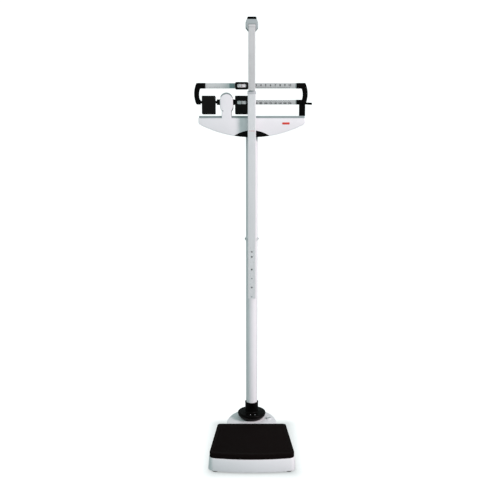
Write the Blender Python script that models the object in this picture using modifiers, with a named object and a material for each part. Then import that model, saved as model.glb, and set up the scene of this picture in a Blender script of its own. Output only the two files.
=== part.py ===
"""A physician's mechanical column scale: lever platform, column, eye-level sliding-weight beam and height rod.

Every position is measured from the column's axis, with the patient's side at -Y, and in metres.
The whole scale hangs from one empty that puts the middle of its footprint at the origin, on the floor.
Each moving piece has its object origin on its joint's axis.
"""

import math

import bmesh
import bpy
from mathutils import Euler, Matrix, Vector

# ---------------------------------------------------------------- clearances
FIT = 0.0003  # between pieces that touch or are fixed together
RUNNING = 0.0006  # between pieces that slide on each other
ROUND_STEPS = 40  # facets of a visible round piece
SMALL_STEPS = 16  # facets of a screw, pin or foot

# ---------------------------------------------------------------- base
GROUND_GAP = 0.007
BASE_FRONT = -0.405
BASE_BACK = -0.086
BASE_FRONT_HALF = 0.181
BASE_BACK_HALF = 0.158
FRONT_BULGE = 0.018
BASE_CORNER = 0.026
BACK_CORNER = 0.020
BASE_TOP = 0.059
BASE_FLARE = 0.004  # how far the foot of the wall stands out past its top
BASE_WALL = 0.006
BASE_FLOOR = 0.004
TONGUE_HALF = 0.116
TONGUE_START = -0.050
TONGUE_LENGTH = 0.155
DECK_TOP = 0.070
DECK_CORNER = 0.010

MAT_SETBACK = 0.006  # from the foot of the base wall to the mat's side
MAT_THICKNESS = 0.004
MAT_SKIRT = 0.003
MAT_TOP = 0.082
MAT_LIFT = 0.0016  # air between the mat's skirt and the base
PLATE_THICKNESS = 0.003

FOOT_RADIUS = 0.015
FOOT_PAD = 0.006
STEM_RADIUS = 0.004
STEM_TOP = 0.028
FRONT_FEET = (0.150, -0.370)
REAR_FEET = (0.080, 0.020)

WHEEL_RADIUS = 0.017
WHEEL_WIDTH = 0.014
WHEEL_X = 0.050
WHEEL_Y = 0.072
WHEEL_GROUND_GAP = 0.003
AXLE_RADIUS = 0.003

LEVEL_POSITION = (0.078, -0.010)
LEVEL_RADIUS = 0.0105
LEVEL_HEIGHT = 0.005

# ---------------------------------------------------------------- platform levers
LEVER_Z = 0.028
LEVER_DEPTH = 0.014
SPINE_Z = 0.044
SPINE_DEPTH = 0.0125
SPINE_HALF = 0.007
LONG_FULCRUM_Y = -0.370
LONG_ARM = 0.037  # from the long lever's fulcrum to its load knife
LONG_HALF = 0.126
SHORT_FULCRUM_Y = -0.115
SHORT_ARM = 0.0355
SHORT_HALF = 0.106
SHACKLE_Y = -0.240
SHACKLE_WALL = 0.0035
LEVER_END = 0.016  # width of the block that carries each pair of knives
LEVER_BAR = 0.020
KNIFE_RADIUS = 0.0046
KNIFE_LENGTH = 0.012
KNIFE_SINK = 0.0005
BEAM_KNIFE = 0.0042  # half the diagonal of the beam's square knives
KNIFE_FIT = 0.00045
CROSS_KNIFE = 0.0022  # radius of the transfer lever's small knives
KNIFE_GROOVE = 0.005  # half the diagonal of the square bar that cuts a bearing's vee
LEVER_EDGE = LEVER_Z - 1.5 * KNIFE_RADIUS + KNIFE_SINK  # height of the levers' fulcrum edges

# ---------------------------------------------------------------- column
TUBE_RADIUS = 0.0255
TUBE_WALL = 0.0018
SOCKET_FLANGE_THICKNESS = 0.006
BOLT_CIRCLE = TUBE_RADIUS + 0.008
SOCKET_FLANGE = BOLT_CIRCLE + 0.0065
SOCKET_HEIGHT = 0.085
SOCKET_WALL = 0.005
DECK_BORE = 0.012
BOOT_FOOT = SOCKET_FLANGE + 0.0035
BOOT_RIM = 0.064
BOOT_RIM_Z = 0.098
BOOT_TOP = 0.104
COLLAR_RADIUS = TUBE_RADIUS + 0.0042
COLLAR_TOP = 0.151
DRAW_ROD_RADIUS = 0.003
DRAW_NUT_RADIUS = 0.007
DRAW_NUT = 0.005

# ---------------------------------------------------------------- head housing
HOUSING_HALF = 0.2265
HOUSING_DEPTH = 0.043  # half the housing's depth
HOUSING_TOP = 1.430
HOUSING_BOTTOM = 1.350
HOUSING_SIDE = 0.024  # height of the upright side above the curved bottom
HOUSING_CORNER = 0.010
HOUSING_WALL = 0.0025
COVER_RISE = 0.010
COVER_BEVEL = 0.009
SADDLE_HALF = 0.074
SADDLE_RISE = 0.022
SADDLE_EDGE = 0.0065  # height of the saddle's ends above the housing's lowest point
SADDLE_BOSS_HALF = 0.035
FRAME_Z = 1.3945
FRAME_THICKNESS = 0.005
FRAME_HALF_DEPTH = 0.030
FRAME_LEFT = -0.196
STAND_FOOT = 0.003
FRAME_RIGHT = 0.080

FULCRUM_X = -0.1075
FULCRUM_Z = 1.4985
LOAD_ARM = 0.016  # from the fulcrum knife to the load knife
HOOD_RADIUS = 0.0275
HOOD_Z = 1.509
HOOD_SIDES = 0.030  # straight sides between the cover's round top and round bottom
HOOD_CAP = 0.0065  # thickness of the grey crescent over the top
CAP_START = 25  # degrees above level where the crescent starts
NECK_HALF = 0.020
NECK_FLARE = 0.001
PIVOT_X = -0.188  # fulcrum of the transfer lever inside the housing
TRANSFER_Z = 1.409
TRANSFER_DEPTH = 0.012
TRANSFER_HALF = 0.004
STIRRUP_HALF = 0.0116

POST_LEFT = 0.2035
POST_RIGHT = 0.2285
POST_TOP = 1.5070
POST_BLOCK = 1.4785
POST_CHEEK = 0.004
LEVER_TIP = 0.257
LOCK_X = 0.2225
LOCK_Z = 1.4925

# ---------------------------------------------------------------- beam
BEAM_LEFT = -0.2466
BEAM_RIGHT = 0.2389
BRACKET_LEG = 0.048  # reach of a bracket's upper leg from its outermost point
BRACKET_WIDTH = 0.021
BRACKET_HALF_DEPTH = 0.008
BRACKET_BULGE = 0.0125
BRACKET_CORNER = 0.007
LOWER_BEAM_HEIGHT = 0.0194
LOWER_BEAM_HALF_DEPTH = 0.003
UPPER_BEAM_Z = 1.567
UPPER_BEAM_HEIGHT = 0.022
UPPER_BEAM_HALF_DEPTH = 0.0025
BEAM_INSERT = 0.012  # how deep the bars sit in the brackets and the hub
HUB_LEFT = -0.1500
HUB_HALF_DEPTH = 0.009
HUB_HALF_HEIGHT = 0.0115

ZERO_X = -0.0432
POISE_HALF = 0.0283
HUB_RIGHT = ZERO_X - POISE_HALF - 0.0005  # the main poise at zero almost meets the hub
POISE_TRAVEL = 0.205
POISE_NOTCHES = 21
MAIN_POISE_BOTTOM = 1.4475
MAIN_POISE_TOP = 1.5245
MAIN_POISE_HALF_DEPTH = 0.025
FINE_POISE_HEIGHT = 0.0306
FINE_POISE_HALF_DEPTH = 0.011
WINDOW_WIDTH = 0.040
WINDOW_HEIGHT = 0.0145
MAIN_WINDOW_Z = 1.4962
LENS_RECESS = 0.002
LENS_THICKNESS = 0.0015
NOTCH_DEPTH = 0.0022

TARE_LEFT = -0.213
TARE_RIGHT = -0.1557
TARE_SCREW_RADIUS = 0.006

# ---------------------------------------------------------------- height rod
ROD_Y = -0.0653
ROD_WIDTH = 0.0345
ROD_DEPTH = 0.020
ROD_WALL = 0.0018
ROD_BOTTOM = 0.652
ROD_TOP = 1.536
INNER_WIDTH = 0.0290
INNER_DEPTH = 0.0145
INNER_WALL = 0.0016
INNER_BOTTOM = 0.900
GUIDE_WALL = 0.0008
GUIDE_LIP = 0.004
GUIDE_HEIGHT = 0.012
OPEN_HOLES = (0.860, 0.838, 0.782, 0.702)
PLUGGED_HOLES = (0.742, 0.661)
ROD_HOLE_RADIUS = 0.0036
PLUG_THICKNESS = 0.0010
BRACKET_SPANS = ((0.665, 0.880), (1.285, 1.325))
ROD_BRACKET_HALF = 0.011
BAND_Z = 0.907
BAND_HEIGHT = 0.013
BAND_THICKNESS = 0.0026

HEAD_TOP = 1.837
HEAD_BOTTOM = 1.783
HEAD_HALF = 0.026
HEAD_DEPTH = 0.044
CAP_THICKNESS = 0.010
CAP_HALF = 0.0195
TONGUE_WIDTH = 0.029
TONGUE_THICKNESS = 0.010
TONGUE_END = 1.541
HINGE_Y = -0.0825
HINGE_Z = 1.8000
HINGE_PIN = 0.0025
KNUCKLE = 0.007


# ---------------------------------------------------------------- scene helpers
class Workshop:
    """The collections, the reference empty and the materials that every piece shares."""

    def __init__(self):
        for thing in list(bpy.data.objects):
            bpy.data.objects.remove(thing, do_unlink=True)
        self.parts = self.collection("column_scale")
        self.helpers = self.collection("cutters")
        self.helpers.hide_render = True
        self.origin = bpy.data.objects.new("scale_origin", None)
        self.parts.objects.link(self.origin)
        middle_x = (BEAM_LEFT + LEVER_TIP) / 2
        middle_y = (BASE_FRONT + TONGUE_START + TONGUE_LENGTH) / 2
        self.origin.location = (-middle_x, -middle_y, 0)
        self.materials = {}

    @staticmethod
    def collection(name):
        made = bpy.data.collections.new(name)
        bpy.context.scene.collection.children.link(made)
        return made

    def paint(self, name, colour, roughness, metallic=0.0):
        made = bpy.data.materials.new(name)
        made.use_nodes = True
        shader = made.node_tree.nodes["Principled BSDF"]
        shader.inputs["Base Color"].default_value = (*colour, 1.0)
        shader.inputs["Roughness"].default_value = roughness
        shader.inputs["Metallic"].default_value = metallic
        self.materials[name] = made

    def add(self, name, mesh, place=(0, 0, 0), turn=(0, 0, 0), finish=None):
        """Links a mesh as a part if it has a finish, or as a helper for a Boolean if it has none."""
        made = bpy.data.objects.new(name, mesh)
        made.location = place
        made.rotation_euler = turn
        made.parent = self.origin
        if finish is None:
            made.hide_render = True
            made.display_type = "WIRE"
            self.helpers.objects.link(made)
        else:
            made.data.materials.append(self.materials[finish])
            self.parts.objects.link(made)
        return made


SHOP = Workshop()
SHOP.paint("white_lacquer", (0.86, 0.87, 0.89), 0.30)
SHOP.paint("grey_trim", (0.42, 0.48, 0.48), 0.45)
SHOP.paint("black_plastic", (0.015, 0.015, 0.015), 0.40)
SHOP.paint("black_rubber", (0.022, 0.020, 0.020), 0.75)
SHOP.paint("black_iron", (0.020, 0.020, 0.018), 0.50, 0.3)
SHOP.paint("satin_aluminium", (0.66, 0.69, 0.71), 0.38, 0.85)
SHOP.paint("bare_steel", (0.48, 0.48, 0.50), 0.35, 0.9)
SHOP.paint("clear_plastic", (0.92, 0.93, 0.93), 0.08)
SHOP.paint("grey_plastic", (0.36, 0.40, 0.40), 0.45)


def mesh_of(form):
    """Turns a bmesh into a mesh and frees it."""
    mesh = bpy.data.meshes.new("shape")
    bmesh.ops.recalc_face_normals(form, faces=form.faces)
    form.to_mesh(mesh)
    form.free()
    return mesh


def block(name, low, high, finish=None, bevel=0.0, about=(0, 0, 0)):
    """A box between two corners. Its object origin is at `about`."""
    form = bmesh.new()
    bmesh.ops.create_cube(form, size=1)
    low, high, about = Vector(low), Vector(high), Vector(about)
    bmesh.ops.scale(form, vec=high - low, verts=form.verts)
    bmesh.ops.translate(form, vec=(low + high) / 2 - about, verts=form.verts)
    made = SHOP.add(name, mesh_of(form), about, finish=finish)
    if bevel:
        round_edges(made, bevel)
    return made


def round_edges(thing, width, segments=2):
    bevel = thing.modifiers.new("rounded_edges", "BEVEL")
    bevel.width = width
    bevel.segments = segments
    bevel.limit_method = "ANGLE"
    bevel.angle_limit = math.radians(35)


def rod(name, radius, start, end, finish=None, steps=SMALL_STEPS, about=None, twist=0.0):
    """A round or many-sided bar between two points."""
    start, end = Vector(start), Vector(end)
    about = Vector(about) if about is not None else Vector((0, 0, 0))
    form = bmesh.new()
    length = (end - start).length
    bmesh.ops.create_cone(
        form, cap_ends=True, segments=steps, radius1=radius, radius2=radius, depth=length
    )
    aim = (end - start).to_track_quat("Z", "Y").to_matrix().to_4x4()
    spin = Matrix.Rotation(twist, 4, "Z")
    bmesh.ops.transform(
        form, matrix=Matrix.Translation((start + end) / 2 - about) @ aim @ spin, verts=form.verts
    )
    return SHOP.add(name, mesh_of(form), about, finish=finish)


def turned(name, profile, place=(0, 0, 0), finish=None, steps=ROUND_STEPS, turn=(0, 0, 0), ring=False):
    """A profile of (radius, height) points, top to bottom down its outer side, spun about its own Z."""
    mesh = bpy.data.meshes.new(name)
    points = [(radius, 0, height) for radius, height in profile]
    edges = [(i, i + 1) for i in range(len(points) - 1)]
    if ring:
        edges.append((len(points) - 1, 0))
    mesh.from_pydata(points, edges, [])
    made = SHOP.add(name, mesh, place, turn, finish)
    screw = made.modifiers.new("turned", "SCREW")
    screw.steps = screw.render_steps = steps
    screw.use_merge_vertices = True
    screw.merge_threshold = 1e-5
    return made


def plate(name, loops, thickness, place=(0, 0, 0), finish=None, upright=False):
    """A flat outline, with any holes as further loops, as thick as `thickness`, centred on its plane.

    An upright plate has its outline in X and Z, and its thickness along Y.
    """
    curve = bpy.data.curves.new(name, "CURVE")
    curve.dimensions = "2D"
    curve.fill_mode = "BOTH"
    curve.extrude = thickness / 2
    for loop in loops:
        spline = curve.splines.new("POLY")
        spline.points.add(len(loop) - 1)
        for point, (across, along) in zip(spline.points, loop):
            point.co = (across, along, 0, 1)
        spline.use_cyclic_u = True
    drawn = bpy.data.objects.new(name + "_outline", curve)
    bpy.context.scene.collection.objects.link(drawn)
    bpy.context.view_layer.update()
    graph = bpy.context.evaluated_depsgraph_get()
    mesh = bpy.data.meshes.new_from_object(drawn.evaluated_get(graph))
    bpy.data.objects.remove(drawn)
    form = bmesh.new()
    form.from_mesh(mesh)
    bmesh.ops.remove_doubles(form, verts=form.verts, dist=1e-5)
    if upright:
        bmesh.ops.rotate(form, matrix=Euler((math.pi / 2, 0, 0)).to_matrix(), verts=form.verts)
    return SHOP.add(name, mesh_of(form), place, finish=finish)


def boolean(target, helper, operation="DIFFERENCE"):
    step = target.modifiers.new(operation.lower(), "BOOLEAN")
    step.operation = operation
    step.object = helper
    return target


def welded(target, helper):
    """Joins a helper's shape to the target as one solid."""
    return boolean(target, helper, "UNION")


# ---------------------------------------------------------------- outlines
def arc(centre, radius_x, radius_y, start, end, steps):
    """Points along an ellipse, angles in degrees."""
    angles = [math.radians(start + (end - start) * i / steps) for i in range(steps + 1)]
    return [(centre[0] + radius_x * math.cos(a), centre[1] + radius_y * math.sin(a)) for a in angles]


def inset(loop, distance):
    """Moves every side of a counter-clockwise loop inwards."""
    moved = []
    for i, here in enumerate(loop):
        before, here, after = Vector(loop[i - 1]), Vector(here), Vector(loop[(i + 1) % len(loop)])
        first, second = (here - before).normalized(), (after - here).normalized()
        normal = Vector((-first.y, first.x))
        middle = (normal + Vector((-second.y, second.x))).normalized()
        point = here + middle * (distance / middle.dot(normal))
        moved.append((point.x, point.y))
    return moved


def rounded(corners, steps=6):
    """Rounds the (x, y, radius) corners of a loop with arcs that touch both sides."""
    loop = []
    for i, (x, y, radius) in enumerate(corners):
        here = Vector((x, y))
        if radius == 0:
            loop.append((x, y))
            continue
        back = Vector(corners[i - 1][:2]) - here
        ahead = Vector(corners[(i + 1) % len(corners)][:2]) - here
        back.normalize()
        ahead.normalize()
        half = back.angle(ahead) / 2
        reach = radius / math.tan(half)
        centre = here + (back + ahead).normalized() * (radius / math.sin(half))
        start, end = here + back * reach - centre, here + ahead * reach - centre
        sweep = start.angle_signed(end)
        for step in range(steps + 1):
            turn = Matrix.Rotation(-sweep * step / steps, 2)
            point = centre + turn @ start
            loop.append((point.x, point.y))
    return loop


def mirrored(right_side):
    """Closes a loop from the points of its +X side, listed bottom to top."""
    return right_side + [(-x, y, *rest) for x, y, *rest in reversed(right_side) if x > 1e-6]


def front_edge(half, front, steps=8):
    """The bulged front edge, from the left corner to just short of the right one."""
    radius = (half**2 + FRONT_BULGE**2) / (2 * FRONT_BULGE)
    spread = math.degrees(math.asin(half / radius))
    points = arc((0, front + radius), radius, radius, 270 - spread, 270 + spread, steps)
    return [(x, y, 0) for x, y in points[1:-1]]


def platform_loop(setback):
    """The tapering platform outline, set back from the foot of the base wall."""
    corner_y = BASE_FRONT + FRONT_BULGE
    corners = [(-BASE_FRONT_HALF, corner_y, BASE_CORNER)]
    corners += front_edge(BASE_FRONT_HALF, BASE_FRONT)
    corners += [
        (BASE_FRONT_HALF, corner_y, BASE_CORNER),
        (BASE_BACK_HALF, BASE_BACK, BACK_CORNER),
        (-BASE_BACK_HALF, BASE_BACK, BACK_CORNER),
    ]
    return inset(rounded(corners), setback)


def tongue_points():
    return arc((0, TONGUE_START), TONGUE_HALF, TONGUE_LENGTH, 0, 180, 24)


def base_loop(setback):
    """The platform outline with the tongue that carries the column."""
    corner_y = BASE_FRONT + FRONT_BULGE
    corners = [(-BASE_FRONT_HALF, corner_y, BASE_CORNER)]
    corners += front_edge(BASE_FRONT_HALF, BASE_FRONT)
    corners += [
        (BASE_FRONT_HALF, corner_y, BASE_CORNER),
        (BASE_BACK_HALF, BASE_BACK, BACK_CORNER),
        (TONGUE_HALF, BASE_BACK, 0.004),
    ]
    corners += [(x, y, 0) for x, y in tongue_points()]
    corners += [
        (-TONGUE_HALF, BASE_BACK, 0.004),
        (-BASE_BACK_HALF, BASE_BACK, BACK_CORNER),
    ]
    return inset(rounded(corners), setback)


def housing_floor(x, drop=0.0):
    """Height of the housing's curved underside, as one circular arc through its lowest point."""
    rise = HOUSING_TOP - HOUSING_SIDE - HOUSING_BOTTOM
    radius = (HOUSING_HALF**2 + rise**2) / (2 * rise)
    return HOUSING_BOTTOM - drop + radius - math.sqrt(radius**2 - x**2)


def housing_loop(top, crest=()):
    """The boat-shaped front of the housing, counter-clockwise. A crest stands on its top edge."""
    steps = 22
    corners = [(-HOUSING_HALF, housing_floor(HOUSING_HALF), HOUSING_CORNER)]
    for i in range(1, steps):
        x = -HOUSING_HALF + 2 * HOUSING_HALF * i / steps
        corners.append((x, housing_floor(x), 0))
    corners.append((HOUSING_HALF, housing_floor(HOUSING_HALF), HOUSING_CORNER))
    corners.append((HOUSING_HALF, top, 0))
    corners += [(x, z, 0) for x, z in crest]
    corners.append((-HOUSING_HALF, top, 0))
    return rounded(corners, 5)


def crescent_edge(drop):
    """The underside of the grey crescent, from right to left, a drop below the round top."""
    return arc((FULCRUM_X, HOOD_Z - drop), HOOD_RADIUS, HOOD_RADIUS, CAP_START, 180 - CAP_START, 14)


def fulcrum_crest():
    """Neck and tall round head of the fulcrum cover, standing on the housing's top edge."""
    spread = math.degrees(math.acos(NECK_HALF / HOOD_RADIUS))
    low = (FULCRUM_X, HOOD_Z - HOOD_SIDES)
    head = arc(low, HOOD_RADIUS, HOOD_RADIUS, -spread, 0, 8)
    head += arc((FULCRUM_X, HOOD_Z), HOOD_RADIUS, HOOD_RADIUS, 0, CAP_START, 4)
    head += crescent_edge(HOOD_CAP)
    head += arc((FULCRUM_X, HOOD_Z), HOOD_RADIUS, HOOD_RADIUS, 180 - CAP_START, 180, 4)
    head += arc(low, HOOD_RADIUS, HOOD_RADIUS, 180, 180 + spread, 8)
    left, right = FULCRUM_X - NECK_HALF - NECK_FLARE, FULCRUM_X + NECK_HALF + NECK_FLARE
    return [(right, HOUSING_TOP)] + head + [(left, HOUSING_TOP)]


def saddle_loop(clearance, overrun=0.0):
    """The arched black saddle under the housing. Overrun takes its underside past the housing's."""
    edge = HOUSING_BOTTOM + SADDLE_EDGE
    radius = (SADDLE_HALF**2 + SADDLE_RISE**2) / (2 * SADDLE_RISE)
    spread = math.degrees(math.asin(SADDLE_HALF / radius))
    centre = edge + SADDLE_RISE - radius
    grown = radius + clearance
    top = arc((0, centre), grown, grown, 90 - spread, 90 + spread, 14)
    steps = 8
    half = top[0][0]
    xs = [-half + 2 * half * i / steps for i in range(steps + 1)]
    underside = [(x, housing_floor(x, overrun)) for x in xs]
    return underside + top[1:-1] if overrun == 0 else underside + top


# ---------------------------------------------------------------- base and platform
def build_base():
    height = BASE_TOP - GROUND_GAP
    body = plate("base_frame", [base_loop(0)], height, (0, 0, (BASE_TOP + GROUND_GAP) / 2), "white_lacquer")
    slope_wall(body.data, height)
    pocket_bottom = GROUND_GAP + BASE_FLOOR
    pocket_height = BASE_TOP - pocket_bottom + 0.01
    setback = BASE_FLARE + BASE_WALL
    pocket = plate("base_pocket", [base_loop(setback)], pocket_height, (0, 0, pocket_bottom + pocket_height / 2))
    boolean(body, pocket)
    for foot_x, foot_y in foot_places():
        boss = rod("foot_boss", 0.009, (foot_x, foot_y, GROUND_GAP + 0.001), (foot_x, foot_y, 0.024))
        welded(body, boss)
        thread = rod("foot_hole", STEM_RADIUS + FIT, (foot_x, foot_y, 0), (foot_x, foot_y, 0.03))
        boolean(body, thread)
    for x, y in fulcrum_places():
        low = (x - 0.008, y - 0.007, GROUND_GAP + 0.001)
        welded(body, block("fulcrum_post", low, (x + 0.008, y + 0.007, LEVER_EDGE + 0.003)))
        groove_z = LEVER_EDGE + KNIFE_GROOVE - 2 * FIT
        boolean(body, groove("fulcrum_groove", (x - 0.01, y, groove_z), (x + 0.01, y, groove_z)))
    for side in (-1, 1):
        near, far = side * (WHEEL_X - WHEEL_WIDTH / 2), side * (WHEEL_X + WHEEL_WIDTH / 2)
        arch_low = (min(near, far) - 0.002, WHEEL_Y - WHEEL_RADIUS - 0.003, 0)
        arch_high = (max(near, far) + 0.002, WHEEL_Y + WHEEL_RADIUS + 0.020, 0.041)
        boolean(body, block("wheel_arch", arch_low, arch_high))
        inner = sorted((near - side * 0.002, near - side * 0.012))
        cheek_low = (inner[0], WHEEL_Y - 0.009, GROUND_GAP + 0.001)
        cheek_high = (inner[1], WHEEL_Y + 0.009, axle_height() + 0.009)
        welded(body, block("axle_cheek", cheek_low, cheek_high))
    reach = WHEEL_X + WHEEL_WIDTH / 2 + 0.001
    axle_hole = rod("axle_hole", AXLE_RADIUS + FIT, (-reach, WHEEL_Y, axle_height()), (reach, WHEEL_Y, axle_height()))
    boolean(body, axle_hole)


def slope_wall(mesh, height):
    """Leans the wall in towards its top by the flare."""
    loop = mesh.vertices
    outline = [Vector(p) for p in base_loop(0)]
    leaned = [Vector(p) for p in base_loop(BASE_FLARE)]
    for vertex in loop:
        if vertex.co.z > height / 4:
            flat = vertex.co.xy
            nearest = min(range(len(outline)), key=lambda i: (outline[i] - flat).length)
            vertex.co.x, vertex.co.y = leaned[nearest]


def axle_height():
    return WHEEL_RADIUS + WHEEL_GROUND_GAP


def foot_places():
    return [
        (-FRONT_FEET[0], FRONT_FEET[1]),
        (FRONT_FEET[0], FRONT_FEET[1]),
        (-REAR_FEET[0], REAR_FEET[1]),
        (REAR_FEET[0], REAR_FEET[1]),
    ]


def build_rear_deck():
    """The lid of the tongue, which the column stands on."""
    front = BASE_BACK - MAT_SETBACK + 0.005
    corners = [(TONGUE_HALF, front, DECK_CORNER)] + [(x, y, 0) for x, y in tongue_points()]
    corners += [(-TONGUE_HALF, front, DECK_CORNER)]
    loop = inset(rounded(corners, 3), BASE_FLARE)
    thickness = DECK_TOP - BASE_TOP - FIT
    deck = plate("rear_deck", [loop], thickness, (0, 0, DECK_TOP - thickness / 2), "white_lacquer")
    round_edges(deck, 0.003)
    boolean(deck, rod("deck_bore", DECK_BORE, (0, 0, BASE_TOP - 0.01), (0, 0, DECK_TOP + 0.01), steps=24))


def build_feet():
    names = ("foot_front_left", "foot_front_right", "foot_rear_left", "foot_rear_right")
    for name, (foot_x, foot_y) in zip(names, foot_places()):
        profile = [
            (0, STEM_TOP),
            (STEM_RADIUS, STEM_TOP),
            (STEM_RADIUS, FOOT_PAD),
            (FOOT_RADIUS - 0.002, FOOT_PAD),
            (FOOT_RADIUS, FOOT_PAD - 0.002),
            (FOOT_RADIUS, 0),
            (0, 0),
        ]
        turned(name, profile, (foot_x, foot_y, 0), "black_rubber", 24)


def build_wheels():
    z = axle_height()
    reach = WHEEL_X + WHEEL_WIDTH / 2
    rod("wheel_axle", AXLE_RADIUS, (-reach, WHEEL_Y, z), (reach, WHEEL_Y, z), "bare_steel", about=(0, WHEEL_Y, z))
    half = WHEEL_WIDTH / 2
    bore = AXLE_RADIUS + RUNNING
    profile = [
        (bore, half),
        (WHEEL_RADIUS - 0.002, half),
        (WHEEL_RADIUS, half - 0.002),
        (WHEEL_RADIUS, -half + 0.002),
        (WHEEL_RADIUS - 0.002, -half),
        (bore, -half),
    ]
    for name, side in (("wheel_left", -1), ("wheel_right", 1)):
        place = (side * WHEEL_X, WHEEL_Y, z)
        turned(name, profile, place, "black_rubber", 32, turn=(0, math.pi / 2, 0), ring=True)


def build_spirit_level():
    """A round bubble level let into the deck, under a clear dome."""
    x, y = LEVEL_POSITION
    base = DECK_TOP + FIT
    top = base + LEVEL_HEIGHT
    seat = LEVEL_RADIUS - 0.0025
    cup = [
        (seat, top),
        (LEVEL_RADIUS - 0.0008, top),
        (LEVEL_RADIUS, top - 0.0008),
        (LEVEL_RADIUS, base),
        (0, base),
        (0, base + 0.001),
        (seat, base + 0.001),
    ]
    turned("spirit_level_cup", cup[:5] + [(0, base + 0.001), (seat, base + 0.001)], (x, y, 0),
           "satin_aluminium", 24, ring=True)
    glass = [
        (0, top + 0.0006),
        (seat * 0.6, top + 0.0002),
        (seat - FIT, top - 0.0012),
        (seat - FIT, base + 0.001 + FIT),
        (0, base + 0.001 + FIT),
    ]
    turned("spirit_level_glass", glass, (x, y, 0), "clear_plastic", 24)


def build_platform():
    """The pressed load plate, its four bearing posts and the rubber mat that wraps it."""
    skirt_bottom = BASE_TOP + MAT_LIFT
    mat_height = MAT_TOP - skirt_bottom
    mat = plate("platform_mat", [platform_loop(MAT_SETBACK)], mat_height,
                (0, 0, (MAT_TOP + skirt_bottom) / 2), "black_rubber")
    round_edges(mat, 0.003)
    inside_top = MAT_TOP - MAT_THICKNESS
    depth = inside_top - skirt_bottom + 0.01
    hollow = plate("mat_hollow", [platform_loop(MAT_SETBACK + MAT_SKIRT)], depth, (0, 0, inside_top - depth / 2))
    boolean(mat, hollow)

    plate_top = inside_top - FIT
    plate_bottom = skirt_bottom + 0.001
    pressing = plate("load_plate", [platform_loop(MAT_SETBACK + MAT_SKIRT + FIT)], plate_top - plate_bottom,
                     (0, 0, (plate_top + plate_bottom) / 2), "bare_steel")
    ceiling = plate_top - PLATE_THICKNESS
    depth = ceiling - plate_bottom + 0.01
    setback = MAT_SETBACK + MAT_SKIRT + FIT + PLATE_THICKNESS
    boolean(pressing, plate("plate_hollow", [platform_loop(setback)], depth, (0, 0, ceiling - depth / 2)))

    edge_z = LEVER_Z + LEVER_DEPTH + KNIFE_RADIUS * 1.5 - KNIFE_SINK
    for x, y in load_knife_places():
        low = (x - 0.006, y - 0.007, edge_z - 0.003)
        welded(pressing, block("load_post", low, (x + 0.006, y + 0.007, ceiling + 0.001)))
        groove_z = edge_z - KNIFE_GROOVE + 2 * FIT
        boolean(pressing, groove("load_groove", (x - 0.01, y, groove_z), (x + 0.01, y, groove_z)))


def groove(name, start, end):
    """A square bar on edge, which cuts the vee that a knife rests in."""
    return rod(name, KNIFE_GROOVE, start, end, steps=4)


def load_knife_places():
    long_y, short_y = LONG_FULCRUM_Y + LONG_ARM, SHORT_FULCRUM_Y - SHORT_ARM
    return [(side * half, y) for half, y in ((LONG_HALF, long_y), (SHORT_HALF, short_y)) for side in (-1, 1)]


def fulcrum_places():
    pairs = ((LONG_HALF, LONG_FULCRUM_Y), (SHORT_HALF, SHORT_FULCRUM_Y))
    return [(side * half, y) for half, y in pairs for side in (-1, 1)]


def add_knives(lever, fulcrums, loads):
    """Sets the knives in a lever's ends: fulcrum edges down, load edges up."""
    for x, y in fulcrums:
        welded(lever, knife(x, y, LEVER_Z, -1))
    for x, y in loads:
        welded(lever, knife(x, y, LEVER_Z + LEVER_DEPTH, 1))


def knife(x, y, z, direction):
    """A three-sided knife along X, its flat sunk in the lever and its edge pointing up or down."""
    centre = z + direction * (KNIFE_RADIUS / 2 - KNIFE_SINK)
    start = (x - KNIFE_LENGTH / 2, y, centre)
    bar = rod("knife", KNIFE_RADIUS, start, (x + KNIFE_LENGTH / 2, y, centre), steps=3)
    turn_edge(bar.data, Vector((x, y, centre)), direction)
    return bar


def turn_edge(mesh, centre, direction):
    """Turns a three-sided bar along X so that one edge points straight up or down."""
    first = mesh.vertices[0].co - centre
    angle = math.atan2(first.z, first.y)
    wanted = math.radians(90 * direction)
    spin = Matrix.Rotation(wanted - angle, 4, "X")
    mesh.transform(Matrix.Translation(centre) @ spin @ Matrix.Translation(-centre))


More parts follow.
